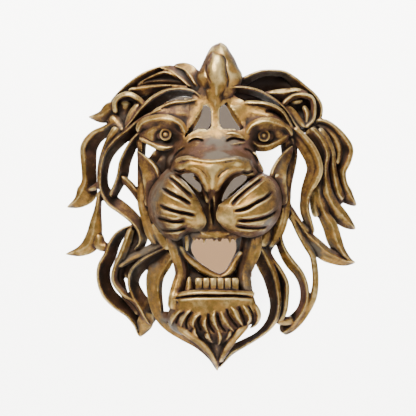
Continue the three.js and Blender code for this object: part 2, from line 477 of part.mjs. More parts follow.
// The keyhole that hangs on a screw head: a round entry below and a narrow slot above it.
function keyholeSolid() {
  const outline = new THREE.Shape();
  const slot = KEYHOLE_SLOT / 2;
  const round = KEYHOLE_ROUND / 2;
  const meet = Math.asin(slot / round);
  outline.moveTo(-slot, KEYHOLE_LENGTH);
  outline.lineTo(-slot, Math.cos(meet) * round);
  outline.absarc(0, 0, round, Math.PI / 2 + meet, Math.PI / 2 - meet + Math.PI * 2, false);
  outline.lineTo(slot, KEYHOLE_LENGTH);
  outline.absarc(0, KEYHOLE_LENGTH, slot, 0, Math.PI, false);
  const cutter = new THREE.ExtrudeGeometry(outline, {
    depth: KEYHOLE_DEPTH + CUT_OVERSHOOT, bevelEnabled: false, curveSegments: KEYHOLE_CURVE_STEPS,
  });
  cutter.rotateX(Math.PI / 2);
  cutter.translate(0, CUT_OVERSHOOT, KEYHOLE_ABOVE_ORIGIN);
  return solidFromGeometry(cutter);
}

// Everything behind the wall plane, taken off so that the tips and the boss end flat on it.
function behindWallSolid() {
  const slab = new THREE.BoxGeometry(MASK_WIDTH * 2, MASK_PROJECTION, MASK_HEIGHT * 2);
  slab.translate(0, MASK_PROJECTION / 2, 0);
  return solidFromGeometry(slab);
}

function maskSolid() {
  const ribs = [
    ...CREST, ...FOREHEAD, ...EYES, ...CHEEKS, ...JAW, ...UNDER_MANE, ...LEFT_MANE, ...RIGHT_MANE,
  ];
  const pieces = [
    ...ribs.map((rib) => lockSolid(rib, ROD_DEPTH)),
    ...NOSE.map((rib) => lockSolid(rib, SHELL_WALL)),
    ...PADS.map((pad) => padSolid(pad, SHELL_WALL)),
    ...EYEBALLS.map(eyeballSolid),
    ...TEETH.map(toothSolid),
    ...incisorSolids(),
    bossSolid(),
  ];
  const whole = pieces.reduce((body, piece) => body.add(piece));
  return withPocketsFilled(whole.subtract(keyholeSolid()).subtract(behindWallSolid()));
}

// The casting is solid where ribs close a small pocket between them. A pocket's skin faces inwards, so
// its volume is negative.
function withPocketsFilled(solid) {
  const outerBodies = solid.decompose().filter((body) => body.volume() > 0);
  return outerBodies.reduce((whole, body) => whole.add(body));
}

function geometryOf(solid) {
  const mesh = solid.getMesh();
  const shape = new THREE.BufferGeometry();
  shape.setAttribute('position', new THREE.BufferAttribute(mesh.vertProperties, 3));
  shape.setIndex(new THREE.BufferAttribute(mesh.triVerts, 1));
  shape.computeVertexNormals();
  return shape;
}

const antiqueBronze = new THREE.MeshStandardMaterial({ color: 0x8a6a3c, roughness: 0.45, metalness: 0.55 });

const mask = new THREE.Mesh(geometryOf(maskSolid()), antiqueBronze);
mask.name = 'lion_mask';

const lionHeadWallMask = new THREE.Group();
lionHeadWallMask.name = 'lion_head_wall_mask';
lionHeadWallMask.add(mask);

export default lionHeadWallMask;
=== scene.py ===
"""Lion head wall mask: one openwork resin casting with an antique bronze and gold finish.

The carving is drawn in millimetres as seen from the front: x to the right, z up and depth off the
wall, which is -Y in the frame. Locks of hair are ribs carried along curves, pads are domed shells,
and everything is fused into one skin. Recess and edge values measured on that skin drive the finish.
With how much the skin faces the front, they also paint shade into its colour: darker in recesses and
on the flanks that face away from the front.
"""
import math

import bmesh
import bpy
import numpy as np
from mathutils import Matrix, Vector
from mathutils.geometry import tessellate_polygon


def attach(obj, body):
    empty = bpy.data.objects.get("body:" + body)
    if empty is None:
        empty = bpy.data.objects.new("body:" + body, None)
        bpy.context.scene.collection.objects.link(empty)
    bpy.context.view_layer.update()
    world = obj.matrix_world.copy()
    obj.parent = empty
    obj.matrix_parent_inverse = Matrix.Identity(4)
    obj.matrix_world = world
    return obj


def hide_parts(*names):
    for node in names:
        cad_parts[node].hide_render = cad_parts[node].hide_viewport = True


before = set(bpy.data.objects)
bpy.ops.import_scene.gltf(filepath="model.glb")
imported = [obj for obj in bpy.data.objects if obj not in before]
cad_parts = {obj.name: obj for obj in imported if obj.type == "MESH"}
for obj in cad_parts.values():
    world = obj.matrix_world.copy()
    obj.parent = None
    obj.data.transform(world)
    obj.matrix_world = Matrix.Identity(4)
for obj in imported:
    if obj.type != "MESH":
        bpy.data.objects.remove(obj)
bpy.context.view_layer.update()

MASK = "lion_mask"
MM = 0.001

# How finely the carving is made, in millimetres, and how the fused skin is eased and thinned.
PATH_STEP = 0.9
RIM_STEP = 1.2
HOLE_STEP = 1.5
GROOVE_STEP = 2.0
SHEET_CELL = 0.9
SKIN_CELL = 0.7
EASE_SHARE = 0.5
EASE_ROUNDS = 1
TRIANGLE_LIMIT = 192000
# How many points go round each small round form, and how many rings make its length.
BALL_SIDES = 32
BALL_RINGS = 16
BEAD_SIDES = 12
BEAD_RINGS = 49
TOOTH_SIDES = 20
TOOTH_RINGS = 16
INCISOR_SIDES = 24
INCISOR_RINGS = 14
ENTRY_POINTS = 25
SLOT_POINTS = 11

# The section of a lock: how its front falls from the ridge, how thick its edges are, how far its keel
# lies behind, and its bead and fine grooves. A ridge well to one side scoops the section out.
FRONT_POINTS = 21
BACK_POINTS = 11
BACK_NARROWING = 0.96
LOCK_POWER = 1.45
SIDE_RIDGE = 0.25
SCOOPED_POWER = 0.95
LOCK_DEEP = 10.0
EDGE_THICKNESS = 3.2
EDGE_ROUNDING = 1.2
EDGE_SQUARENESS = 6
KEEL_RISE = 0.6
LEAST_THICKNESS = 1.0
LEAST_WIDTH = 1.2
LEAST_FRONT = 1.45
BEAD_HALF_WIDTH = 1.1
STRAND_GROOVE = 0.7
STRAND_FULL_HALF_WIDTH = 4
# Its ends are rounded and drop back over this length.
END_LENGTH = 4.0
END_WIDTH = 0.4
END_DROP = 2.2

# Locks of hair and the other ribs. Each has its stations from root to tip: x, z, width and the ridge's
# depth. ridge is the crest line's place across the rib, 1 at the edge on the left of the way it runs as
# seen from the front, and -1 at the other. fall is how far the edges lie behind it, bead the height of
# the bright rim along it, strands how many fine grooves run beside it, and power how round its sides are.

# Two ribs from the crest's sides to the forehead, and the ridge from its middle down between the brows.
CREST = [
    dict(at=[[-21, 18, 10, 34], [-19, 9, 14, 40], [-15, -1, 16, 46], [-8, -12, 14, 50]]),
    dict(at=[[20, 12, 10, 38], [17, 2, 14, 43], [11, -7, 14, 48], [5, -14, 10, 51]]),
    dict(at=[[-2, 2, 15, 54], [-1, -10, 13, 55], [-1, -20, 7, 54], [-1, -30, 7, 55], [-2, -42, 18, 59]]),
]
# Bands beside the forehead's openings, then a raised band and a broad one over each eye.
FOREHEAD = [
    dict(ridge=0.5, bead=0.81, strands=2, at=[
        [-10, 0, 10, 48], [-16, -9, 13, 50], [-20, -20, 15, 52], [-26, -32, 15, 54], [-33, -45, 13, 55]]),
    dict(ridge=-0.5, bead=0.81, strands=2, at=[
        [7, -5, 9, 49], [15, -13, 13, 51], [21, -22, 15, 52], [27, -32, 14, 54], [32, -44, 13, 55]]),
    dict(ridge=-0.6, bead=0.675, at=[
        [-16, -11, 5, 50], [-27, -13.5, 6, 50], [-39, -15, 7, 50], [-52, -21, 8, 48], [-64, -30, 8, 45]]),
    dict(strands=2, at=[[-24, -26, 14, 53], [-36, -25, 14, 53], [-50, -25, 12, 52], [-62, -30, 9, 47]]),
    dict(ridge=0.5, fall=5, bead=1.215, at=[
        [24, -15, 8, 50], [36, -15.5, 9, 51], [48, -17, 8, 51], [58, -22, 8, 48], [64, -30, 7, 45],
        [69, -38, 6, 42]]),
    dict(strands=2, at=[
        [24, -22, 15, 52], [36, -25, 14, 54], [47, -27, 11, 54], [57, -32, 9, 51], [65, -39, 6, 46]]),
]
# The roll over each eye, then the upper lids and the lower ones.
EYES = [
    dict(ridge=0.3, fall=6, bead=0.675, at=[
        [-71, -40, 7, 45], [-66, -33, 11, 52], [-54, -29.5, 12, 57], [-43, -30, 12, 60],
        [-34, -34, 11, 60], [-29, -42, 10, 60]]),
    dict(ridge=0.3, fall=6, bead=0.675, at=[
        [28, -42, 10, 60], [34, -35, 11, 60], [43, -32, 12, 60], [53, -33, 12, 57], [63, -37, 9, 50],
        [69, -43, 6, 45]]),
    dict(fall=2, at=[
        [-64, -42, 3, 47], [-57, -37, 4, 51], [-48, -34.5, 4, 54], [-40, -36, 4, 55], [-35, -42, 4, 54]]),
    dict(fall=2, at=[
        [32, -43, 4, 54], [37, -38, 4, 55], [44, -36, 4, 54], [53, -38, 4, 51], [61, -43, 3, 47]]),
    dict(ridge=-0.3, fall=4, bead=0.54, at=[
        [-70, -44, 6, 43], [-60, -48, 8, 47], [-50, -52, 9, 51], [-41, -52, 8, 53], [-34, -48, 7, 54]]),
    dict(ridge=0.3, fall=4, bead=0.54, at=[
        [31, -48, 7, 54], [38, -53, 8, 52], [47, -53, 8, 50], [56, -49, 7, 48], [66, -43, 5, 44]]),
]
# The nose's upper edge, its wings, the edges of its nostrils, its middle, the sides of its bridge and
# the small folds between the eyes.
NOSE = [
    dict(bead=1.215, at=[
        [-41, -75, 3, 66], [-35, -67, 6, 80], [-27, -64.5, 6, 88], [-18, -65.5, 6, 92], [-9, -67, 6, 94],
        [0, -67, 6, 94], [10, -65.5, 6, 92], [20, -65, 6, 88], [29, -68, 6, 80], [35, -76, 3, 66]]),
    dict(fall=4, at=[[-25, -70, 13, 89], [-33, -73, 12, 83], [-42, -80, 8, 66]]),
    dict(fall=4, at=[[21, -70, 13, 89], [28, -74, 12, 83], [37, -81, 8, 66]]),
    dict(fall=4, at=[
        [-30, -73, 6, 87], [-22, -73, 8, 92], [-14, -77, 9, 94], [-9, -85, 9, 93], [-7, -94, 6, 87]]),
    dict(fall=4, at=[
        [26, -73, 6, 87], [16, -74, 8, 92], [8, -78, 9, 94], [2, -85, 9, 93], [-1, -94, 6, 87]]),
    dict(fall=2, at=[[-21, -80, 3, 80], [-13, -86, 4, 80], [-10, -95, 4, 78], [-8, -104, 3, 77]]),
    dict(fall=2, at=[[-3, -69, 16, 94], [-3.5, -77, 14, 95], [-3.5, -85, 11, 94], [-4, -93, 7, 89]]),
    dict(ridge=0.3, fall=4, at=[[-41, -58, 9, 50], [-45, -67, 15, 51], [-50, -77, 16, 50]]),
    dict(ridge=-0.3, at=[[33, -58, 6, 60], [36, -68, 8, 62], [41, -78, 8, 62]]),
    dict(bead=0.54, at=[[5, -42, 3, 60], [12, -41, 5, 63], [20, -42, 5, 62], [28, -46, 3, 57]]),
    dict(at=[[7, -51.5, 3, 72], [16, -51, 4, 70], [27, -49, 3, 62]]),
    dict(at=[[-27, -46, 4, 60], [-18, -44.5, 5, 64], [-10, -47, 4, 66]]),
]

# The face's skin: a sheet over an outline, with the openings of the real casting, whose depth passes
# through these places (x, z, depth) as a thin plate bends.
FACE_OUTLINE = [
    [-12, 4], [10, 4], [18, -8], [27, -12], [40, -13], [52, -15], [62, -22], [68, -32], [70, -40],
    [62, -45], [55, -50], [46, -54], [36, -56], [37, -66], [40, -74], [46, -80], [48, -95], [36, -114],
    [12, -132], [0, -136], [-12, -132], [-38, -114], [-52, -95], [-50, -79], [-54, -72], [-61, -63],
    [-57, -57], [-52, -55], [-58, -50], [-70, -45], [-71, -36], [-65, -28], [-56, -20], [-45, -12],
    [-34, -10], [-22, -9],
]
FACE_HOLES = [
    [[-11, -15], [-6, -17], [-4.5, -24], [-6, -37], [-15, -37], [-22, -40], [-29, -45], [-25, -37],
     [-18, -27], [-13, -19]],
    [[9, -12], [6, -15], [3.5, -17], [3, -25], [3, -32], [6, -37], [15, -37], [22, -38], [25, -36],
     [22, -30], [18, -24], [13, -17], [10.5, -13]],
    [[-34, -16], [-38, -17], [-43, -20], [-44, -24], [-42, -24], [-39, -21]],
    [[-33, -78], [-22, -77.5], [-16, -82], [-13, -88], [-14, -94], [-20, -90], [-27, -84]],
    [[24, -78.5], [28, -79], [27, -83], [21, -89], [14, -95], [8, -101], [5, -103], [7, -95], [11, -88],
     [16, -82]],
]
FACE_DEPTHS = [
    [-20, 0, 46], [0, 0, 50], [18, -6, 46], [-42, -14, 47], [-15, -15, 51], [0, -15, 53], [20, -15, 51],
    [50, -16, 46], [-66, -30, 42], [-50, -28, 51], [-30, -30, 54], [-10, -30, 56], [8, -30, 56],
    [28, -30, 54], [50, -28, 50], [64, -32, 42], [-68, -42, 43], [-47, -42, 46], [-57, -35, 51],
    [-48, -33, 55], [-38, -35, 56], [-35, -46, 54], [-60, -47, 46], [-32, -42, 57], [-20, -42, 61],
    [0, -42, 64], [17, -42, 61], [30, -42, 57], [45, -42, 46], [33, -46, 54], [37, -36, 56],
    [45, -34, 55], [55, -36, 51], [60, -45, 46], [66, -42, 43], [-64, -50, 40], [-50, -53, 47],
    [-37, -52, 55], [-24, -52, 68], [-2, -52, 73], [19, -52, 68], [32, -53, 55], [48, -53, 45],
    [-56, -62, 43], [-46, -62, 48], [-37, -61, 60], [-22, -60, 81], [-2, -60, 85], [17, -60, 81],
    [31, -60, 64], [37, -60, 50], [-46, -70, 50], [-35, -70, 81], [-24, -66, 89], [-2, -66, 93],
    [20, -66, 89], [29, -70, 81], [40, -70, 56], [-34, -75, 80], [-22, -73, 91], [-3, -74, 96],
    [16, -73, 91], [28, -75, 80], [-22, -80, 82], [-3, -82, 95], [14, -81, 82], [-30, -86, 64],
    [-13, -90, 74], [-4, -90, 91], [4, -90, 78], [22, -88, 64], [-18, -98, 68], [-9, -100, 72],
    [-4, -100, 79], [2, -100, 73], [12, -99, 68], [-3, -112, 70], [-12, -112, 71], [5, -112, 71],
    [-2, -124, 70], [0, -134, 69], [-30, -112, 72], [28, -112, 72], [-48, -92, 52], [45, -92, 52],
]
FACE_WALL = 6.0

# A petal and a long strap beside each cheek, and a short rib that joins each strap to the jaw.
CHEEKS = [
    dict(ridge=0.7, fall=7, bead=1.215, at=[
        [-72, -57, 2, 41], [-66, -66, 11, 47], [-60, -75, 16, 52], [-58, -86, 17, 54], [-59, -98, 13, 53],
        [-60, -108, 10, 50]]),
    dict(strands=3, at=[
        [-68, -46, 10, 42], [-68, -57, 8, 38], [-68, -72, 8, 36], [-66.5, -88, 11, 37],
        [-65, -104, 14, 39], [-61, -118, 15, 40], [-56, -132, 16, 40], [-50, -146, 8, 38]]),
    dict(ridge=-0.7, fall=6, bead=1.215, at=[
        [70, -52, 2, 41], [65, -60, 9, 45], [59, -70, 13, 50], [56, -81, 16, 53], [59, -94, 12, 51],
        [60, -106, 10, 47]]),
    dict(strands=3, at=[
        [63.5, -46, 11, 42], [64, -57, 9.5, 38], [66, -70, 9.5, 36], [64, -86, 10, 36],
        [62, -102, 12.5, 38], [59.5, -118, 13, 39], [55, -131, 13, 38], [49, -144, 7, 37]]),
    dict(at=[[-54, -120, 14, 44], [-48, -134, 14, 44], [-42, -146, 10, 46]]),
    dict(at=[[50, -118, 14, 36], [46, -131, 14, 38], [40, -143, 10, 42]]),
]
# The upper lip, the columns beside the mouth, the mouth's lining and its V-shaped rim, the board behind
# the lower teeth, the lower lip, and the ribs of the chin's point and sides.
JAW = [
    dict(at=[
        [-30, -129, 10, 65], [-20, -130.5, 11, 68.5], [-8, -131, 11, 70], [8, -131, 11, 70],
        [16, -131, 11, 68.5], [24, -130, 10, 65]]),
    dict(ridge=-0.2, fall=5, strands=3, at=[
        [-39, -132, 16, 62], [-36, -146, 14, 58], [-33, -157, 13, 56], [-31, -168, 13, 56],
        [-33, -179, 15, 59], [-36, -190, 15, 64], [-38, -201, 13, 62]]),
    dict(ridge=0.2, fall=5, strands=3, at=[
        [33, -130, 18, 62], [31, -146, 20, 59], [28, -157, 17, 57], [25, -168, 14, 57],
        [25.5, -179, 14, 60], [27.5, -190, 13.5, 64], [30, -200, 12, 62]]),
    dict(ridge=-0.85, fall=14, at=[
        [-25, -130, 13, 62], [-29, -146, 13, 52], [-24, -158, 13, 50], [-13, -168, 13, 50],
        [0, -174, 12, 50], [11, -171, 12, 50], [19, -160, 13, 50], [24, -147, 12, 52],
        [22, -130, 12, 62]]),
    dict(at=[
        [-33, -143, 5, 58], [-27, -152, 6, 57], [-20, -158.5, 7, 58], [-12, -164.5, 7.5, 59],
        [-3, -169.5, 7, 60], [4, -171, 6.5, 60], [9.5, -168.5, 6.5, 60], [14, -163.5, 7, 59],
        [18, -156, 6, 57], [23, -148, 5, 58]]),
    dict(at=[
        [-34, -176, 20, 51], [-14, -176.5, 19, 53], [0, -177, 18, 53], [12, -176.5, 19, 53],
        [28, -176, 20, 51]]),
    dict(ridge=-0.2, fall=2, bead=0.675, at=[
        [-42, -191, 5, 58], [-34, -187.5, 5, 64], [-20, -185, 5, 70], [0, -185, 5, 72],
        [20, -185.5, 5, 69], [35, -186.5, 5, 63]]),
    dict(bead=0.675, strands=2, at=[
        [-36, -214, 8, 60], [-26, -221, 9, 64], [-15, -229, 9, 61], [-6, -239, 8, 55], [0, -250, 5, 46],
        [1.5, -257, 1.5, 37]]),
    dict(bead=0.675, strands=2, at=[
        [28, -213, 8, 60], [21, -220, 9, 64], [14, -228, 9, 61], [8, -238, 8, 55], [3, -249, 5, 46]]),
    dict(strands=3, at=[[0, -218, 20, 64], [0, -230, 16, 58], [1, -242, 10, 50], [1.5, -252, 4, 42]]),
    dict(strands=2, at=[[-54, -206, 8, 32], [-46, -207, 9, 44], [-38, -208, 12, 56]]),
    dict(ridge=0.3, bead=0.54, at=[
        [31, -194, 5, 61], [35, -200, 8, 61], [37, -206.5, 8, 59], [35.5, -213, 5, 55],
        [31, -218, 1.5, 50]]),
]
# The tufts of the chin, from the viewer's left to right, the upper row first.
CHIN = [
    [[-29, -199, 4, 65], [-35, -203, 6, 65], [-39.5, -209, 5.5, 61.5], [-41.5, -216, 2, 55]],
    [[-22, -200, 4, 69.5], [-27.5, -204, 6.5, 70], [-31, -210, 6, 67.5], [-32.5, -218, 2, 61]],
    [[-13, -203, 3.5, 71.5], [-18.5, -206.5, 5.5, 73], [-21.5, -212, 5.5, 71.5], [-20, -219, 2, 66]],
    [[-9, -207, 3, 72], [-11, -212, 5, 73.5], [-9.5, -218, 4.5, 71], [-5, -225, 1.5, 65]],
    [[-1, -201, 4, 73], [-3, -206.5, 6, 75], [-1.5, -213, 5.5, 73.5], [2.5, -221, 2, 68]],
    [[4, -202, 4, 72.5], [6, -208, 6, 74.5], [10, -214, 5.5, 72], [16, -221, 2, 65]],
    [[13, -198, 4.5, 71.5], [16.5, -203, 7, 73.5], [19.5, -209, 6, 71], [24, -215.5, 2, 64]],
    [[23, -196, 5, 67.5], [27, -202, 7, 69], [29.5, -208, 6, 66.5], [27.5, -215.5, 2, 60]],
    [[-19, -216, 3, 67], [-20, -220.5, 4.5, 68], [-16, -227, 2, 62]],
    [[-9, -219, 3, 67], [-8, -224, 5, 68.5], [-3.5, -231, 2, 60]],
    [[1, -219, 3, 68], [3, -225, 5, 68.5], [2, -233, 2, 60]],
    [[13, -218, 3, 65], [11.5, -223, 4.5, 66.5], [7, -230, 2, 59]],
]
TUFT = dict(ridge=0.2, fall=3.4, bead=0.675, power=1.2, deep=4)
# Locks of the mane that lie behind the others, and joins between them.
UNDER_MANE = [
    dict(at=[
        [-16, 0, 14, 40], [-32, 5, 16, 31], [-48, 4, 18, 25], [-64, 2, 18, 21], [-78, -3, 14, 20],
        [-90, -12, 10, 20]]),
    dict(at=[[-56, -6, 10, 30], [-68, -7, 12, 26], [-80, -8, 14, 24], [-90, -12, 10, 23]]),
    dict(at=[[18, 0, 14, 36], [34, 4, 18, 26], [52, 5, 18, 19], [68, 2, 16, 19], [82, -6, 12, 20]]),
    dict(at=[[19, -8, 11, 44], [30, -8, 11, 38], [44, -9, 13, 31], [56, -12, 14, 28], [66, -18, 12, 29]]),
    dict(at=[[66, -14, 12, 28], [76, -12, 16, 24], [86, -16, 10, 24]]),
    dict(at=[
        [84, -36, 12, 34], [93, -46, 12, 32], [97, -58, 12, 29], [97, -72, 11, 27], [95, -85, 13, 25],
        [93, -96, 14, 25], [96, -106, 12, 24], [100, -114, 10, 22]]),
    dict(at=[
        [96, -42, 8, 29], [103, -54, 8, 27], [104, -68, 8, 24], [105, -82, 9, 22], [108, -96, 11, 19],
        [114, -106, 10, 15]]),
    dict(strands=4, at=[
        [-66, -143, 12, 33], [-77, -149, 14, 29], [-84, -158, 13, 25], [-88, -170, 8, 23],
        [-87, -179, 9, 23], [-83, -189, 7, 23], [-76, -198, 6, 22], [-70, -206, 6, 21]]),
    dict(at=[[-78, -127, 10, 28], [-74, -138, 12, 28], [-70, -147, 8, 30]]),
    dict(at=[[-60, -146, 12, 34], [-52, -152, 12, 34], [-46, -156, 8, 36]]),
    dict(at=[[54, -131, 14, 32], [48, -143, 10, 30], [45, -153, 7, 30]]),
    dict(at=[[90, -92, 8, 25], [90, -105, 9, 24], [92, -117, 7, 23]]),
    dict(at=[[57, -170, 5, 27], [59, -181, 6, 26], [59, -190, 5, 26]]),
    dict(at=[
        [91, -33, 6, 27], [101, -37, 8, 24], [109, -46, 8, 22], [112, -56, 8, 20], [110, -69, 7, 19]]),
    dict(at=[[-72, -153, 8, 28], [-78, -163, 9, 26], [-82, -173, 7, 25]]),
    dict(at=[[-98, -97, 8, 26], [-104, -101, 6, 22]]),
    dict(at=[[76, -33, 8, 31], [84, -36, 9, 30], [92, -33, 7, 27]]),
]
# The mane on the viewer's left and on the viewer's right, from the top down.
LEFT_MANE = [
    dict(ridge=0.6, fall=4, power=0.85, bead=1.08, at=[
        [-16, 3, 7, 45], [-22, 15, 11, 40], [-28, 20, 8.5, 35], [-38, 22, 3, 31]]),
    dict(ridge=0.7, fall=6, power=0.85, bead=1.08, at=[
        [-22, 3, 7, 44], [-32, 13.5, 10, 38], [-42, 19, 6, 33], [-51, 20, 3, 30]]),
    dict(ridge=-0.8, fall=7, at=[
        [-42, 20, 5, 31], [-55, 16.5, 7, 29], [-66, 11, 9, 27], [-76, 3.5, 10, 24], [-86, -4.5, 9, 19],
        [-97, -11, 1.2, 13]]),
    dict(ridge=-0.7, fall=6, power=0.85, bead=1.08, at=[
        [-34, 7, 5, 36], [-46, 12, 9, 34], [-56, 10, 7, 31], [-64, 7, 5, 28], [-71, 4, 2, 26]]),
    dict(ridge=-0.5, bead=0.81, at=[[-27, 3, 6, 40], [-42, 5, 8, 32], [-58, 5, 8, 28], [-72, 2, 7, 25]]),
    dict(ridge=-0.6, fall=4, bead=0.81, at=[
        [-26, 0, 5, 46], [-42, 1, 6, 41], [-56, 0, 8, 36], [-67, -2, 10, 33], [-80, -2, 6, 30]]),
    dict(ridge=-0.7, fall=9, power=0.8, bead=1.35, at=[
        [-14, -11, 6, 50], [-21, -5, 7, 50], [-31, -3, 8, 48], [-43, -5, 11, 45], [-52, -10, 13, 43],
        [-60, -16, 13, 41], [-68, -24, 12, 39], [-76, -32, 8, 37], [-83, -38, 5, 36]]),
    dict(ridge=-0.3, at=[
        [-92, -22, 5, 30], [-92, -11, 5, 33], [-86, -6, 5, 36], [-79, -5, 5, 38], [-71, -9, 5, 38],
        [-64, -16, 5, 38]]),
    dict(at=[[-70, -13, 5, 35], [-74, -20, 9, 35], [-78, -28, 9, 35], [-82, -36, 5, 35]]),
    dict(at=[[-85, -11, 14, 27], [-83, -20, 18, 26], [-83, -30, 12, 29]]),
    dict(ridge=-0.3, fall=4, bead=0.675, at=[
        [-88, -17, 15, 28], [-96, -21, 19, 24], [-105, -25, 12, 18], [-117, -25, 1.5, 10]]),
    dict(fall=4, strands=4, at=[[-96, -24, 12, 26], [-90, -31, 14, 30], [-85, -38, 11, 35]]),
    dict(ridge=-0.7, fall=8, power=0.85, bead=1.35, at=[
        [-48, -20, 6, 50], [-60, -26, 8, 46], [-70, -32.5, 9, 42], [-79, -40.5, 10, 38],
        [-89.5, -49, 10.5, 35], [-97.5, -58.5, 10, 32], [-101.5, -69, 9, 30], [-103, -81, 8.5, 28],
        [-102, -91, 9.5, 29], [-95.5, -101.5, 12, 30], [-86, -108.5, 12, 32], [-76.5, -116.5, 11, 34],
        [-69.5, -125, 10, 36], [-66.5, -134, 9, 37], [-68, -142, 7, 36], [-74, -147, 4, 34]]),
    dict(ridge=-0.4, fall=4, strands=3, at=[
        [-89, -36, 11, 36], [-97, -47, 8, 33], [-102, -58, 7, 30], [-105.5, -70, 6, 27],
        [-106.5, -82, 5, 26], [-105, -92, 6, 26]]),
    dict(ridge=-0.7, fall=8, power=0.85, bead=1.215, at=[
        [-68, -41, 7, 42], [-74, -48, 8.5, 40], [-79, -57, 10, 37], [-83.5, -68, 11, 35],
        [-85.5, -79, 11, 33], [-90, -89, 9, 31], [-95, -99, 8, 30]]),
    dict(ridge=0.3, fall=4, bead=0.54, at=[
        [-87, -80, 7, 31], [-78.5, -88, 7.5, 32], [-71.5, -96.5, 8, 34], [-65.5, -106, 8.5, 35],
        [-62, -117, 9.5, 36], [-60, -128, 11, 37]]),
    dict(ridge=-0.5, fall=6, bead=0.81, at=[
        [-92, -31, 7, 27], [-102, -38.5, 11, 21], [-110.5, -44, 14, 18], [-116.5, -53, 16, 16],
        [-117, -64, 15, 15], [-116.5, -75, 14, 14], [-116.5, -85, 14.5, 14], [-119, -95, 19.5, 13],
        [-126, -103, 12, 10], [-137, -108, 1.5, 8]]),
    dict(bead=0.675, at=[[-104, -84, 6, 26], [-110, -89, 6, 20], [-117, -92, 4, 15]]),
    dict(ridge=-0.2, fall=4, bead=0.54, at=[
        [-106, -93, 5, 26], [-108.3, -110, 7, 22], [-110, -122, 11.5, 20], [-111.7, -133, 14.5, 18],
        [-115.5, -142, 15.5, 15], [-124.5, -148.2, 10, 12], [-138, -151, 1.5, 8]]),
    dict(at=[[-108, -132, 9, 18], [-106, -142, 11, 19], [-99, -145, 8, 22]]),
    dict(ridge=-0.7, fall=8, power=0.85, bead=1.215, at=[
        [-72, -127, 7, 33], [-82, -128.5, 6.5, 30], [-88.5, -134, 9.5, 28], [-93.5, -142, 11, 26],
        [-97, -152, 12, 24], [-102.5, -163, 13, 23], [-103, -174, 13, 22], [-99, -186, 13, 22],
        [-89.5, -196, 12.5, 22], [-78.5, -204.5, 11, 20], [-71.5, -215, 9.5, 16], [-70.5, -226, 3, 11]]),
    dict(ridge=-0.3, fall=4, bead=0.675, at=[
        [-77, -127, 7, 33], [-80.5, -138, 8, 34], [-85.5, -151, 8, 33], [-91.5, -163, 6, 31],
        [-93, -174, 6, 30], [-86, -185, 6, 30], [-75, -193, 6, 29], [-67, -203, 7, 27],
        [-63, -214, 8, 22]]),
    dict(ridge=-0.3, fall=4, strands=3, at=[
        [-90, -162, 6, 30], [-78, -154, 9, 32], [-66, -149, 9, 36], [-54, -143, 9, 40],
        [-45, -137, 9, 45]]),
    dict(ridge=-0.7, fall=9, power=0.8, bead=1.215, at=[
        [-43, -146, 7, 43], [-55, -152.5, 9, 40], [-65, -159, 11, 38], [-73.5, -168, 12, 34],
        [-75.5, -178, 11, 32], [-71.5, -188.5, 12.5, 31], [-66, -197, 13, 30], [-61, -207, 13, 26],
        [-59, -215, 7, 23]]),
    dict(at=[[-63, -204, 12, 26], [-65, -214, 15, 21], [-68, -221, 10, 15], [-70, -227, 3, 11]]),
    dict(ridge=0.5, fall=6, bead=0.945, strands=1, at=[
        [-41, -149, 13, 43], [-49, -158, 18, 39], [-55, -169, 17, 37], [-56.5, -182, 15, 36],
        [-54.5, -197, 13, 36], [-51, -208, 10, 38], [-43, -217, 9, 41], [-30, -225, 9, 43],
        [-16, -233, 8.5, 44], [-4.5, -244.5, 6.5, 41], [1, -257, 1.5, 37]]),
]
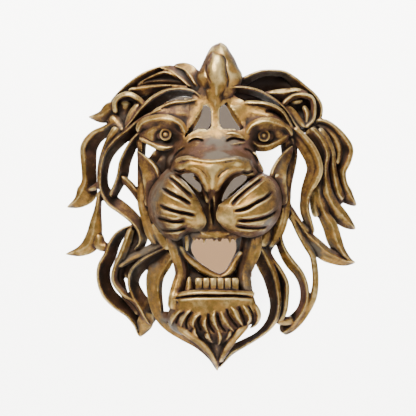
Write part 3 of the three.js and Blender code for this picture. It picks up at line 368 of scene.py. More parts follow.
RIGHT_MANE = [
    dict(ridge=0.6, fall=6, bead=1.08, at=[
        [19, 3, 9, 42], [29, 8.8, 8, 37], [40, 14, 6.5, 34], [52, 15.3, 5.5, 31], [62, 13.8, 6.5, 29],
        [71, 7.7, 8.3, 27], [79.5, 0.3, 9, 26], [88, -7, 9, 24], [92.8, -15, 9.5, 23],
        [93.2, -23, 8.8, 23], [90, -31, 8, 26]]),
    dict(ridge=0.3, fall=4, bead=0.675, at=[
        [42, -5, 4, 38], [52, -5, 8, 37], [63, -5, 11, 35], [74, -3, 8, 32], [84, -6, 6, 30]]),
    dict(ridge=0.6, fall=8, power=0.85, bead=1.215, at=[
        [4, -9, 7, 50], [9, -3, 8, 50], [18, -1.5, 9, 49], [28, -1.5, 7, 48], [38, -4, 7, 46],
        [47, -8.5, 7, 44], [57, -15.5, 7, 42], [64, -23, 7, 40], [70, -33, 7, 39], [76, -40, 7, 39]]),
    dict(ridge=0.3, bead=0.54, at=[
        [60, -16, 5, 38], [65, -10.5, 5, 38], [72, -6.5, 5, 38], [80, -6, 5, 38], [87, -9, 5, 36],
        [89, -18, 5, 34], [87.5, -28, 5, 34], [81, -35, 5, 36]]),
    dict(at=[[62, -16, 6, 37], [67, -21, 10, 37], [73, -28, 10, 36], [81, -35, 5, 36]]),
    dict(fall=2, at=[[77, -10, 14, 26], [79, -20, 18, 24], [80, -31, 12, 28]]),
    dict(at=[[80, -15, 5, 31], [83, -23, 6, 33], [82, -33, 4, 33]]),
    dict(at=[[68, -12, 3, 33], [74, -11.5, 5, 34], [79, -10.5, 3, 32]]),
    dict(ridge=0.6, fall=6, bead=0.81, strands=2, at=[
        [68, -37, 10, 42], [75.5, -44.5, 13, 42], [83, -54.5, 15, 42], [88, -64, 15, 42],
        [90, -74, 15, 41], [87, -83, 14, 39], [83, -92, 11, 36], [81, -101, 9, 34], [81, -111, 9, 33],
        [84, -121, 8, 32], [88, -132, 6, 31]]),
    dict(ridge=0.3, fall=5, bead=0.675, strands=1, at=[
        [86, -36, 7, 38], [95, -47, 9, 36], [100, -59, 8, 34], [99, -71, 7, 31], [99, -83, 10, 28],
        [100, -95, 14, 26], [105.5, -106.5, 15, 22], [113, -115.5, 15, 18], [120.5, -122.5, 11, 13],
        [128, -128, 3, 9]]),
    dict(fall=4, strands=1, at=[
        [94, -36, 6, 32], [101, -46, 7, 31], [106, -58, 6, 30], [107, -71, 6, 28], [109, -83, 7, 26],
        [112, -95, 9, 22], [116, -101, 7, 18]]),
    dict(ridge=0.5, fall=7, bead=0.945, strands=1, at=[
        [91, -30, 8, 28], [100, -32, 9, 26], [108, -38, 10.5, 24], [115, -47, 13, 22], [119, -55, 14, 20],
        [117.5, -65, 13, 20], [114, -75, 11, 20], [115, -86, 11, 19], [119, -97, 14, 16],
        [128.5, -106.5, 3.5, 11]]),
    dict(ridge=0.4, fall=5, at=[
        [67, -44, 8, 40], [70.5, -58, 8, 34], [69.5, -70, 7, 33], [66, -86, 7, 33], [64, -102, 8, 33],
        [68, -114, 8, 33], [75, -123, 8, 32], [84, -132, 8, 31]]),
    dict(ridge=0.3, fall=5, bead=0.675, strands=2, at=[
        [65, -107, 8, 33], [74, -122, 9, 32], [82, -133.5, 11, 31], [90.5, -142, 13, 29],
        [99, -150, 14, 25], [108, -154.5, 12, 20], [118, -158, 8, 14], [128, -158.5, 2.5, 9]]),
    dict(ridge=0.3, fall=5, bead=0.54, strands=1, at=[
        [92, -90, 10, 26], [94, -103, 10, 25], [98, -114, 11, 24], [104.6, -126, 14, 23],
        [108.5, -138, 14, 21], [113.5, -148, 11, 18], [120, -155, 7, 14], [127, -159, 2, 9]]),
    dict(ridge=-0.3, at=[
        [69, -114, 7, 33], [75.5, -130, 6, 32], [82.5, -142, 7, 30], [88, -152, 6, 28],
        [90.5, -165, 6, 26], [91, -178, 6, 24], [89, -190, 7, 23], [84.5, -200, 7, 22],
        [77.5, -210, 8, 19], [70, -218, 8, 15], [63, -225, 3, 11]]),
    dict(ridge=0.5, fall=6, bead=0.81, at=[
        [62, -110, 7, 37], [58.5, -124, 6, 36], [57.5, -137, 7, 35], [61, -148, 8, 34],
        [67.3, -158.5, 9.5, 32], [75.5, -168.5, 9, 30], [80, -179, 8.5, 28], [81, -191, 8.5, 26],
        [77.5, -202, 8, 24], [71, -210.5, 10, 20], [65, -216, 13, 16], [60, -223, 6, 13]]),
    dict(ridge=0.5, fall=7, power=0.9, bead=1.08, at=[
        [38, -146, 12, 41], [43.5, -158, 15, 38], [49.3, -170.5, 14, 36], [52.5, -183, 12.5, 35],
        [54.3, -197, 10.5, 35], [52, -209, 10, 36], [46, -218, 8, 38], [36, -226, 6.5, 40],
        [25, -232, 7.5, 42], [13, -239, 8, 43], [2, -254, 3, 38]]),
    dict(ridge=0.3, fall=4, bead=0.54, at=[
        [43, -142, 8, 36], [50.5, -156, 6.5, 33], [57.5, -166, 7, 31], [63, -178, 7.5, 30],
        [63, -191, 7.5, 30], [61, -203, 8, 30], [57, -212, 7, 31]]),
    dict(at=[[55, -211, 8, 31], [62, -212, 8, 27], [71, -211, 8, 21]]),
]

# Domed shells: the crest's cap, the petal on it, the muzzle's two pads and the chin. Points of the rim
# are x, z and how far the rim stands off.
PADS = [
    dict(x=3, z=14, top=52, fullness=0.55, rim=[
        [4, 43, 27], [8.8, 40.2, 29], [13, 34, 31], [16.8, 28, 33], [20.2, 20, 35], [24, 12, 38],
        [21, 1, 43], [12, -9, 48], [2, -18, 51], [-8, -11, 48], [-16, 0, 42], [-18, 10, 39],
        [-14, 20, 36], [-10.8, 27, 34], [-7.5, 34, 31], [-3.8, 39.2, 29]]),
    dict(x=0, z=12, top=57, fullness=0.6, rim=[
        [-3, 33, 43], [4, 32, 43], [9, 25, 45], [10.5, 14, 47], [10, 4, 49], [5, -6, 51], [0, -12, 53],
        [-4, -5, 51], [-7.5, 3, 49], [-9, 13, 47], [-8, 24, 45]]),
    dict(x=-34, z=-108, top=91, fullness=0.62, rim=[
        [-50, -78, 52], [-42, -72, 58], [-35, -79, 72], [-26, -87, 78], [-18, -98, 80], [-12, -110, 79],
        [-9, -122, 76], [-14, -129, 70], [-26, -132, 64], [-36, -139, 56], [-44, -137, 50],
        [-54, -127, 46], [-61, -116, 44], [-62, -100, 45], [-59, -90, 47]]),
    dict(x=29, z=-110, top=91, fullness=0.62, rim=[
        [2, -106, 78], [13, -98, 80], [24, -89, 77], [32, -82, 70], [41, -77, 60], [50, -80, 52],
        [57, -88, 47], [60, -100, 44], [58, -115, 44], [52, -125, 46], [44, -132, 52], [32, -135.5, 60],
        [18, -133, 66], [7, -127, 72], [0, -117, 77]]),
    dict(x=-3, z=-203, top=72, fullness=0.55, rim=[
        [-36, -187, 60], [-22, -186, 67], [0, -185, 69], [20, -186, 67], [33, -188, 60], [37, -201, 55],
        [37.5, -210, 50], [30, -215.5, 52], [23, -222, 52], [8, -233, 48], [-6, -233, 48],
        [-22, -226, 48], [-34, -223, 48], [-43, -215, 46], [-43, -201, 52]]),
]
SHELL_WALL = 8.0
DOME_RINGS = 44
DOME_NARROWING = 0.97
POLE = 0.02

# Grooves cut into the fused skin, as x, z points: whisker lines, folds of the face, the edges of the
# crest's petal, and the gaps between the front teeth and between the chin's tufts.
WHISKER_LINES = [
    [[-50, -90], [-40, -96], [-30, -101], [-22, -106]],
    [[-52, -105], [-45, -109], [-35, -112], [-25, -114], [-18, -116]],
    [[-55, -117], [-47, -119], [-38, -121], [-28, -120]],
    [[-52, -128], [-45, -129], [-35, -128.5], [-26, -126]],
    [[-44, -80], [-36, -86], [-28, -93], [-21, -99]],
    [[44, -80], [35, -87], [27, -93], [18, -101], [13, -107]],
    [[52, -93], [45, -99], [36, -104], [27, -109], [15, -112]],
    [[57, -108], [50, -114], [42, -117.5], [32, -119.5], [18, -120.5]],
    [[48, -124], [42, -126], [32, -126.5], [22, -125.5], [17, -124.5]],
]
WHISKER_GROOVE = dict(deep=4.4, half_width=1.35, lip=1.0)
FACE_LINES = [
    [[8, -49.5], [12, -47], [16, -46], [20, -46.5], [27, -48]],
    [[-26, -50], [-20, -47], [-15, -47], [-11, -49]],
    [[44, -21], [50, -21], [57, -24], [62, -29]],
    [[-27, -54], [-33, -57], [-38, -63], [-42, -70]],
    [[24, -55], [30, -57], [35, -62], [38, -69]],
    [[-4, -96], [-4, -104], [-3, -114], [-1, -125]],
    [[-39, -74], [-33, -76], [-27, -75]],
    [[34, -75], [28, -77], [22, -76]],
    [[-41, -191], [-34, -190], [-20, -188.3], [0, -188], [20, -188.3], [36, -190]],
]
FACE_GROOVE = dict(deep=3.4, half_width=1.2, lip=0.3)
CREST_LINES = [
    [[-5, 32], [-5, 27], [-9, 19], [-8, 12], [-4, 3]],
    [[2, 33], [8, 27], [9, 18], [11, 8], [10, 0]],
]
CREST_GROOVE = dict(deep=1.6, half_width=0.8)
TOOTH_GROOVE = dict(deep=1.4, half_width=0.55)
TOOTH_GROOVE_FROM_GUM = 2.5
TOOTH_GROOVE_PAST_TOP = 1
CHIN_LINES = [
    [[-28, -202], [-33.5, -207], [-36.5, -214]],
    [[-21, -202], [-25, -207], [-27, -213], [-26, -219]],
    [[-14, -205.5], [-16, -210], [-15.5, -215], [-13, -220]],
    [[-7, -203], [-7, -209], [-5.5, -215], [-1, -222]],
    [[1, -203], [2, -209], [4.5, -215], [9, -221]],
    [[9, -199], [11, -205], [15, -211], [20, -217]],
    [[20, -197], [22.5, -203], [25, -209], [26, -215]],
    [[29, -197], [32, -203], [33.5, -209], [32, -215]],
]
CHIN_GROOVE = dict(deep=2.8, half_width=1.0)
# A groove fades over a sixth of its length at each end and is cut only where the skin faces forwards.
# Its reach and its lips' places and widths are in half widths.
GROOVE_FADES = 6
FACES_FORWARDS = 0.15
GROOVE_REACH = 6
LIP_AT = 2.2
LIP_WIDTH = 0.9

EYEBALLS = [dict(x=-46, z=-42), dict(x=43.5, z=-43)]
EYEBALL = dict(across=10, up=6.5, front=52, deep=9)
IRIS = dict(radius=4.4, thick=1.1)
PUPIL = 1.8
PUPIL_RISE = 1.08

TEETH = [
    dict(x=-26.5, top=-130, tip=-148, width=6, front=67),
    dict(x=-24.5, top=-186, tip=-170.5, width=8.5, front=65),
]
SMALL_TEETH = dict(count=9, first=-20, last=17, top=-131, tip=-139, width=6, front=67)
RAGGED_LENGTH = 1.9
RAGGED_LENGTH_TURN = 2.4
RAGGED_WIDTH = 0.25
RAGGED_WIDTH_TURN = 1.7
INCISORS = dict(count=6, first=-15.5, last=17, top=-172, gum=-185, width=7.2, front=68)
INCISOR_DEEP = 4
INCISOR_SQUARENESS = 4
INCISOR_GUM_WIDTH = 0.88
INCISOR_ROUNDS_FROM = 0.7
INCISOR_ROUNDING = 2.6
INCISOR_SETBACK = 0.12

# The boss behind the crest, and the keyhole in its face on the wall that the mask hangs by. The middle of
# the keyhole's round entry is this far above the origin, and its slot runs this length up from there. Both
# start a little behind the wall, where the skin is cut flat.
BOSS = dict(width=24, height=36, top=22, taper=0.62, reach=42)
KEYHOLE = dict(entry=9, slot=4.6, length=8, above=8)
KEYHOLE_DEEP = 7
WALL_OVERLAP = 1.0

# How the skin's values are measured. How open a place is comes from a grid of 1 mm cells, in so many
# directions and at these distances, and the others from rounds of averaging.
OPEN_DIRECTIONS = 16
OPEN_DISTANCES = (1.5, 2.5, 4, 6, 9, 13, 19, 27)
GRID_MARGIN = 30
HIDDEN_FROM = 1.5
HIDDEN_OVER = 4
MIXED_IN = 0.7
OPEN_ROUNDS = 3
FACING_ROUNDS = 4
EDGE_ROUNDS = 8
FORM_ROUNDS = 45
FORM_RANGE = (-3.0, 1.6)
MEASURES = ("open", "facing", "edge", "form")

# The finish's colours, from the wash in the creases, which is partly painted shade, to the paste on the
# edges.
DEEP_UMBER = "#140a04"
UMBER = "#2a190d"
BROWN = "#50361f"
MAUVE_BROWN = "#6a4d43"
GREY_PATINA = "#6b6257"
OLIVE_GOLD = "#91763f"
WARM_GOLD = "#bd9150"
PALE_GOLD = "#f3d898"
# Its patterns: how wide their marks are in millimetres, how many finer layers they have and how strong
# those are. The resin's grain and the paste's speckle are finer than 1 mm and drawn this coarse to show.
PATTERNS = {
    "patches": (22.2, 5.0, 0.7),
    "clouds": (41.7, 3.0, 0.6),
    "blotches": (9.1, 5.0, 0.7),
    "grain": (2.63, 4.0, 0.6),
    "speckle": (1.05, 4.0, 0.6),
}
# Sums of measures and patterns: where a brush reaches, which also paints shade where the skin is shut
# in; where paste is rubbed on, also weighted to places facing the front, which paints shade on the
# flanks that face away; where it is rubbed brightest, mostly on edges and partly a painted highlight
# where it faces the front; where a crease is sunk; and the relief of the coat.
SUMS = {
    "reached_and_lit": dict(open=1.0, form=0.22, blotches=0.12, grain=0.08),
    "brushed_and_lit": dict(open=0.6, facing=0.9, form=0.26, patches=0.9, clouds=-0.5, blotches=0.7, grain=0.35),
    "rubbed": dict(edge=1.0, facing=0.4, grain=0.3, blotches=0.5, patches=0.9),
    "sunk": dict(edge=1.0, grain=0.15),
    "relief": dict(grain=1.0, speckle=0.4, blotches=1.2),
}
# How much there is of each coat: the value it follows, where it starts and where it is full.
SHARES = {
    "mauve": ("patches", 0.38, 0.62),
    "grey": ("clouds", 0.5, 0.62),
    "warm": ("blotches", 0.35, 0.65),
    # Gold and the pale rim follow in part how much a place faces the front: painted shade on the flanks
    # that face away.
    "gold": ("brushed_and_lit", 1.76, 2.25),
    "metal": ("brushed_and_lit", 1.6, 2.2),
    "rim": ("rubbed", 1.42, 2.05),
    # The wash and the crease coat are partly umber wash and partly painted shade in hollows and grooves.
    "wash_and_shade": ("reached_and_lit", 0.82, 0.38),
    "crease_wash_and_shade": ("sunk", -0.05, -0.5),
}
# The coats in the order that they are laid: what each goes onto, its colour and its share.
COATS = [
    ("paste", WARM_GOLD, "warm"),
    ("coat", MAUVE_BROWN, "mauve"),
    ("coat", GREY_PATINA, "grey"),
    ("coat", "paste", "gold"),
    ("coat", PALE_GOLD, "rim"),
    # These last two coats lay painted shade as well as umber wash in the hollows and creases.
    ("coat", UMBER, "wash_and_shade"),
    ("coat", DEEP_UMBER, "crease_wash_and_shade"),
]
# A mix node numbers its sockets: the share, the colour under, the colour over and the result.
MIX_SHARE = 0
MIX_UNDER = 6
MIX_OVER = 7
MIX_RESULT = 2
# The relief is in millimetres. The coat is metallic where there is paste, which also makes it smoother,
# and the speckle makes it glint.
RELIEF_DEPTH = 0.6
RELIEF_STRENGTH = 0.5
RESIN_IOR = 1.45
RESIN_GLINT = 0.35
METALLIC = dict(metal=0.7, rim=0.15)
PLAIN_ROUGHNESS = 0.62
SMOOTHED_BY = dict(metal=-0.2, speckle=-0.1)

# The studio, in metres: a pale floor and backdrop, and a camera far in front of the mask. A pixel of the
# picture is this wide at the mask, and the picture's middle is this x, z place.
PAPER = "#f8f7f4"
PAPER_ROUGHNESS = 0.9
ROOM_HALF_WIDTH = 6
ROOM_FRONT = -8
BACKDROP_AT = 4.6
FLOOR_AT = -1.3
BACKDROP_TOP = 4
CAMERA_DISTANCE = 4.0
CAMERA_REACH = 50
SENSOR = 36.0
PICTURE_PIXELS = 416
PIXEL_WIDTH = 0.92 * MM
PICTURE_WIDTH = PICTURE_PIXELS * PIXEL_WIDTH
PICTURE_MIDDLE = (-7.4 * MM, -108.6 * MM)
# Two taupe cards stand far behind the face as painted shade: the openings of the mouth, and of the
# nostrils and the forehead, show their dark tones to the camera in place of a shaded background, the
# high card darker. They lie within these x, z places of the drawing.
TAUPE = "#50391f"
DARK_TAUPE = "#241a0e"
CARDS_AT = 4.5
LOW_CARD = [(-35, -172), (33, -172), (33, -120), (-35, -120)]
HIGH_CARD = [(-35, -120), (33, -120), (33, -75), (36, -50), (42, -30), (44, -6), (-45, -6), (-45, -30),
             (-44, -75), (-35, -100)]
# The room's own light, the pale tone that the camera sees beyond the sheets, and the lamps in watts.
ROOM_LIGHT = "#d8d2c8"
ROOM_STRENGTH = 0.42
ROOM_SEEN = "#f7f6f3"
WARM_LIGHT = "#fff1dc"
WHITE_LIGHT = "#ffffff"
AT_MASK = (0, -0.04, -0.11)
AT_BACKDROP = (0, BACKDROP_AT, 0.4)
LAMPS = [
    dict(name="key_light", place=(-0.8, -1.3, 1.25), aim=AT_MASK, size=0.6, power=47, colour=WARM_LIGHT),
    dict(name="fill_light", place=(1.3, -1.5, 0.2), aim=AT_MASK, size=0.9, power=6, colour=WHITE_LIGHT),
    dict(name="top_light", place=(0.15, -0.35, 1.5), aim=AT_MASK, size=0.7, power=22, colour=WHITE_LIGHT),
    dict(name="backdrop_light", place=(0, 2.4, 1.8), aim=AT_BACKDROP, size=3.0, power=900,
         colour=WHITE_LIGHT),
]


def curve_through(rows, step=PATH_STEP):
    """Points along a smooth curve through the rows. Between two rows it is the cubic whose slopes at
    each end are the weighted mean of the neighbouring chords, with knots spaced by the square root of
    the chord length, so it neither loops nor overshoots."""
    rows = np.asarray(rows, float)
    chord = np.linalg.norm(np.diff(rows[:, :2], axis=0), axis=1)
    gap = np.sqrt(chord)[:, None]
    slope = np.diff(rows, axis=0) / gap
    inner = (slope[:-1] * gap[1:] + slope[1:] * gap[:-1]) / (gap[:-1] + gap[1:])
    tangent = np.concatenate([slope[:1], inner, slope[-1:]])
    counts = np.maximum(2, np.ceil(chord / step)).astype(int)
    pieces = []
    for i, count in enumerate(counts):
        s = np.linspace(0, 1, count, endpoint=False)[:, None]
        pieces.append((2 * s**3 - 3 * s**2 + 1) * rows[i] + (s**3 - 2 * s**2 + s) * gap[i] * tangent[i]
                      + (3 * s**2 - 2 * s**3) * rows[i + 1] + (s**3 - s**2) * gap[i] * tangent[i + 1])
    pieces.append(rows[-1:])
    return np.concatenate(pieces)


def tube_faces(rings, count):
    """Quads between neighbouring rings of a closed tube, and one polygon over each end."""
    ring = np.arange(rings - 1)[:, None] * count
    side = np.arange(count)[None, :]
    after = (side + 1) % count
    quads = np.stack([ring + side, ring + after, ring + count + after, ring + count + side], -1)
    first_end = np.arange(count)[::-1].tolist()
    last_end = ((rings - 1) * count + np.arange(count)).tolist()
    return quads.reshape(-1, 4).tolist() + [first_end, last_end]


def lock(at, ridge=0, fall=3, bead=0, strands=0, power=LOCK_POWER, deep=LOCK_DEEP):
    """A rib of hair. Across it, u runs from -1 to 1 and the front stands at
    depth - fall * (|u - ridge| / (1 + |ridge|)) ** power, plus a bead of bell section along the ridge,
    less the strands' cosine grooves, with rounded edges. The back is a parabola from one edge through
    the keel to the other. A power below 1 scoops the sides out, and one above 1 rounds them."""
    path = curve_through(at)
    x, z, width, depth = path.T
    travelled = np.concatenate([[0], np.cumsum(np.linalg.norm(np.diff(path[:, :2], axis=0), axis=1))])
    from_end = np.minimum(travelled, travelled[-1] - travelled)
    round_off = np.sqrt(np.clip(1 - (1 - np.clip(from_end / END_LENGTH, 0, 1)) ** 2, 0, 1))
    depth = depth - END_DROP * (1 - round_off)
    half = np.maximum(width * (END_WIDTH + (1 - END_WIDTH) * round_off), LEAST_WIDTH)[:, None] / 2
    ahead = np.gradient(path[:, :2], axis=0)
    ahead /= np.linalg.norm(ahead, axis=1)[:, None] + 1e-9
    across = np.stack([-ahead[:, 1], ahead[:, 0]], 1)
    front_u = -np.cos(np.linspace(0, np.pi, FRONT_POINTS))
    back_u = np.cos(np.linspace(0, np.pi, BACK_POINTS))[1:-1] * BACK_NARROWING
    if abs(ridge) > SIDE_RIDGE:
        power = min(power, SCOOPED_POWER)
    front = depth[:, None] - fall * (np.abs(front_u - ridge) / (1 + abs(ridge))) ** power
    front = front + bead * np.exp(-((front_u - ridge) * half / BEAD_HALF_WIDTH) ** 2)
    if strands:
        groove = 0.5 - 0.5 * np.cos(np.pi * (front_u + 1) * (strands + 1))
        front = front - STRAND_GROOVE * groove * np.clip(half / STRAND_FULL_HALF_WIDTH, 0, 1)
    front = front - EDGE_ROUNDING * (1 - np.sqrt(np.clip(1 - front_u**EDGE_SQUARENESS, 0, 1)))
    front = np.maximum(front, LEAST_FRONT)
    edge = depth - fall - EDGE_THICKNESS
    keel = np.minimum(depth - fall * KEEL_RISE - deep, edge)
    back = edge[:, None] * back_u**2 + keel[:, None] * (1 - back_u**2)
    back = np.minimum(back, front.min(axis=1)[:, None] - LEAST_THICKNESS)
    u = np.concatenate([front_u, back_u])
    px = x[:, None] + across[:, :1] * half * u
    pz = z[:, None] + across[:, 1:] * half * u
    points = np.stack([px, -np.concatenate([front, back], 1), pz], -1).reshape(-1, 3)
    return points, tube_faces(len(x), len(u))


def pad(x, z, top, fullness, rim):
    """A domed shell: rings shrink from the rim to the middle while their depth rises from the rim's
    to the top's as (1 - share ** 2) ** fullness, in front and again one wall behind."""
    outline = curve_through(rim + rim[:1], RIM_STEP)[:-1]
    shares = np.sin(np.linspace(POLE, 1, DOME_RINGS) * np.pi / 2)

    def ring(share, behind):
        rise = (1 - share**2) ** fullness
        depth = outline[:, 2] + (top - outline[:, 2]) * rise - behind
        return np.stack([x + (outline[:, 0] - x) * share, -depth, z + (outline[:, 1] - z) * share], -1)

    rings = [ring(s, 0) for s in shares] + [ring(s * DOME_NARROWING, SHELL_WALL) for s in shares[::-1]]
    return np.concatenate(rings), tube_faces(len(rings), len(outline))


def inside(x, z, polygon):
    """Whether each point lies inside a polygon: a line to its right crosses an odd number of sides."""
    result = np.zeros(np.shape(x), bool)
    corners = np.asarray(polygon, float)
    for (ax, az), (bx, bz) in zip(corners, np.roll(corners, -1, 0)):
        if az != bz:
            crosses = (az > z) != (bz > z)
            result ^= crosses & (x < ax + (z - az) * (bx - ax) / (bz - az))
    return result


def bent_plate(places):
    """A thin-plate surface through the places: the sum of r ** 2 * log(r) terms and a plane."""
    places = np.asarray(places, float)
    middle = places[:, :2]

    def spread(x, z):
        r2 = (x[:, None] - middle[:, 0]) ** 2 + (z[:, None] - middle[:, 1]) ** 2
        return 0.5 * r2 * np.log(r2 + 1e-9)

    count = len(places)
    plane = np.column_stack([np.ones(count), middle])
    system = np.zeros((count + 3, count + 3))
    system[:count, :count] = spread(middle[:, 0], middle[:, 1])
    system[:count, count:] = plane
    system[count:, :count] = plane.T
    weights = np.linalg.solve(system, np.concatenate([places[:, 2], np.zeros(3)]))
    level, by_x, by_z = weights[count:]

    def depth(x, z):
        return spread(x, z) @ weights[:count] + level + by_x * x + by_z * z
    return depth


def face_sheet():
    """The face's skin: the cells of a grid whose middles lie inside the outline and outside the holes,
    at the bent plate's depth in front and one wall behind, with a side wherever a cell's edge is free."""
    outline = np.asarray(FACE_OUTLINE, float)
    xs = np.arange(outline[:, 0].min(), outline[:, 0].max() + SHEET_CELL, SHEET_CELL)
    zs = np.arange(outline[:, 1].min(), outline[:, 1].max() + SHEET_CELL, SHEET_CELL)
    gx, gz = np.meshgrid(xs, zs)
    cx, cz = gx[:-1, :-1] + SHEET_CELL / 2, gz[:-1, :-1] + SHEET_CELL / 2
    kept = inside(cx, cz, outline)
    for hole in FACE_HOLES:
        kept &= ~inside(cx, cz, curve_through(hole + hole[:1], HOLE_STEP))
    rows, columns = np.nonzero(kept)
    wide = gx.shape[1]
    depth = bent_plate(FACE_DEPTHS)(gx.ravel(), gz.ravel())
    front = np.column_stack([gx.ravel(), -depth, gz.ravel()])
    back = np.column_stack([gx.ravel(), FACE_WALL - depth, gz.ravel()])
    corner = rows * wide + columns
    quads = np.stack([corner, corner + 1, corner + wide + 1, corner + wide], 1)
    behind = len(front)
    edges = np.concatenate([quads[:, [i, (i + 1) % 4]] for i in range(4)])
    free = ~np.isin(edges @ [behind, 1], edges @ [1, behind])
    a, b = edges[free].T
    sides = np.stack([a, behind + a, behind + b, b], 1)
    faces = np.concatenate([quads, behind + quads[:, ::-1], sides])
    return np.concatenate([front, back]), faces.tolist()


def ball(x, z, across, up, front, deep):
    """An ellipsoid from rings of latitude, with its foremost point at front."""
    turn = np.linspace(0, 2 * np.pi, BALL_SIDES, endpoint=False)
    tilt = np.linspace(POLE, np.pi - POLE, BALL_RINGS)[:, None]
    points = np.stack([x + across * np.sin(tilt) * np.cos(turn),
                       deep - front - deep * np.cos(tilt) + 0 * turn,
                       z + up * np.sin(tilt) * np.sin(turn)], -1)
    return points.reshape(-1, 3), tube_faces(BALL_RINGS, BALL_SIDES)


def ring_bead(x, z, depth, radius, thick):
    """A raised circle facing the front: a round section carried round."""
    turn = np.linspace(0, 2 * np.pi, BEAD_RINGS)[:, None]
    section = np.linspace(0, 2 * np.pi, BEAD_SIDES, endpoint=False)
    r = radius + thick * np.cos(section)
    points = np.stack([x + r * np.cos(turn),
                       -depth - thick * np.sin(section) + 0 * turn,
                       z + r * np.sin(turn)], -1)
    return points.reshape(-1, 3), tube_faces(BEAD_RINGS, BEAD_SIDES)


def eye(x, z):
    """An eyeball with a raised ring round its iris and a button for its pupil."""
    front = EYEBALL["front"]
    return [ball(x, z, **EYEBALL), ring_bead(x, z, front, **IRIS),
            ball(x, z, PUPIL, PUPIL, front + PUPIL_RISE, PUPIL)]


def tooth(x, top, tip, width, front):
    """A canine: rings that shrink towards its tip as the square root of what is left."""
    turn = np.linspace(0, 2 * np.pi, TOOTH_SIDES, endpoint=False)
    share = np.linspace(0, 1 - POLE, TOOTH_RINGS)[:, None]
    radius = width / 2 * np.sqrt(1 - share)
    points = np.stack([x + radius * np.cos(turn),
                       width / 2 - front - radius * np.sin(turn),
                       top + (tip - top) * share + 0 * turn], -1)
    return points.reshape(-1, 3), tube_faces(TOOTH_RINGS, TOOTH_SIDES)


def small_teeth(count, first, last, top, tip, width, front):
    """The ragged row under the upper lip: short teeth whose length and width come and go as sines."""
    number = np.arange(count)
    places = np.linspace(first, last, count)
    tips = tip + RAGGED_LENGTH * np.sin(number * RAGGED_LENGTH_TURN)
    widths = width * (1 + RAGGED_WIDTH * np.sin(number * RAGGED_WIDTH_TURN))
    return [tooth(x, top, *form, front) for x, *form in zip(places, tips, widths)]


def incisors(count, first, last, top, gum, width, front):
    """The row of front teeth: upright slabs side by side, whose section is the rounded square
    |x| ** 4 + |y| ** 4 = 1. They are a little narrower at the gum, rounded on top, and set back towards
    the sides."""
    turn = np.linspace(0, 2 * np.pi, INCISOR_SIDES, endpoint=False)
    power = INCISOR_SQUARENESS
    squarish = 1 / (np.abs(np.cos(turn)) ** power + np.abs(np.sin(turn)) ** power) ** (1 / power)
    share = np.linspace(0, 1, INCISOR_RINGS)[:, None]
    from_gum = INCISOR_GUM_WIDTH + (1 - INCISOR_GUM_WIDTH) * np.minimum(share * 2, 1)
    rounding = 1 - INCISOR_ROUNDING * np.maximum(share - INCISOR_ROUNDS_FROM, 0) ** 2
    spread = from_gum * rounding * squarish
    height = gum + (top - gum) * share + 0 * turn
    shapes = []
    for x in np.linspace(first, last, count):
        middle = INCISOR_DEEP - front + abs(x) * INCISOR_SETBACK
        points = np.stack([x + width / 2 * spread * np.cos(turn),
                           middle - INCISOR_DEEP * spread * np.sin(turn),
                           height], -1)
        shapes.append((points.reshape(-1, 3), tube_faces(INCISOR_RINGS, INCISOR_SIDES)))
    return shapes


def tooth_lines(row):
    """The gaps between the front teeth, as upright lines."""
    middles = np.linspace(row["first"], row["last"], row["count"])
    return [[[x, row["gum"] + TOOTH_GROOVE_FROM_GUM], [x, row["top"] + TOOTH_GROOVE_PAST_TOP]]
            for x in (middles[1:] + middles[:-1]) / 2]


def keyhole_outline(entry, slot, length, above):
    """A round entry with a narrow slot above it that ends round, as x, z points."""
    meeting = math.asin(slot / entry)
    entry_turn = np.linspace(math.pi / 2 + meeting, 5 * math.pi / 2 - meeting, ENTRY_POINTS)
    slot_turn = np.linspace(0, math.pi, SLOT_POINTS)
    lower = np.column_stack([np.cos(entry_turn), np.sin(entry_turn)]) * entry / 2 + [0, above]
    upper = np.column_stack([np.cos(slot_turn), np.sin(slot_turn)]) * slot / 2 + [0, above + length]
    return np.concatenate([lower, upper])


def boss(width, height, top, taper, reach):
    """The tapered block behind the crest, whose wide flat face lies on the wall with the keyhole in it.
    That face is cut into triangles round the keyhole, and a wall of quads runs along each outline."""
    square = np.array([[-1, -1], [1, -1], [1, 1], [-1, 1]]) / 2 * [width, height]
    middle = np.array([0, top - height / 2])
    keyhole = keyhole_outline(**KEYHOLE)
    rings = [np.column_stack([outline[:, 0], np.full(len(outline), -depth), outline[:, 1]])
             for outline, depth in ((square + middle, -WALL_OVERLAP), (keyhole, -WALL_OVERLAP),
                                    (square * taper + middle, reach), (keyhole, KEYHOLE_DEEP))]
    on_wall = [[Vector(point) for point in ring] for ring in rings[:2]]
    faces = [list(triangle) for triangle in tessellate_polygon(on_wall)]
    front = len(square) + len(keyhole)
    for start, count in ((0, len(square)), (len(square), len(keyhole))):
        side = start + np.arange(count)
        after = np.roll(side, -1)
        faces += np.stack([side, after, front + after, front + side], 1).tolist()
        faces.append((front + side).tolist())
    return np.concatenate(rings), faces


def carved_shapes():
    """Every shape of the carving, as points in millimetres and faces."""
    shapes = []
    for rows in (CREST, FOREHEAD, EYES, CHEEKS, JAW, UNDER_MANE, LEFT_MANE, RIGHT_MANE):
        shapes += [lock(**row) for row in rows]
    shapes += [lock(deep=SHELL_WALL, **row) for row in NOSE]
    shapes += [pad(**row) for row in PADS]
    shapes.append(face_sheet())
    shapes += [lock(row, **TUFT) for row in CHIN]
    for place in EYEBALLS:
        shapes += eye(**place)
    shapes += [tooth(**row) for row in TEETH]
    shapes += small_teeth(**SMALL_TEETH)
    shapes += incisors(**INCISORS)
    shapes.append(boss(**BOSS))
    return shapes


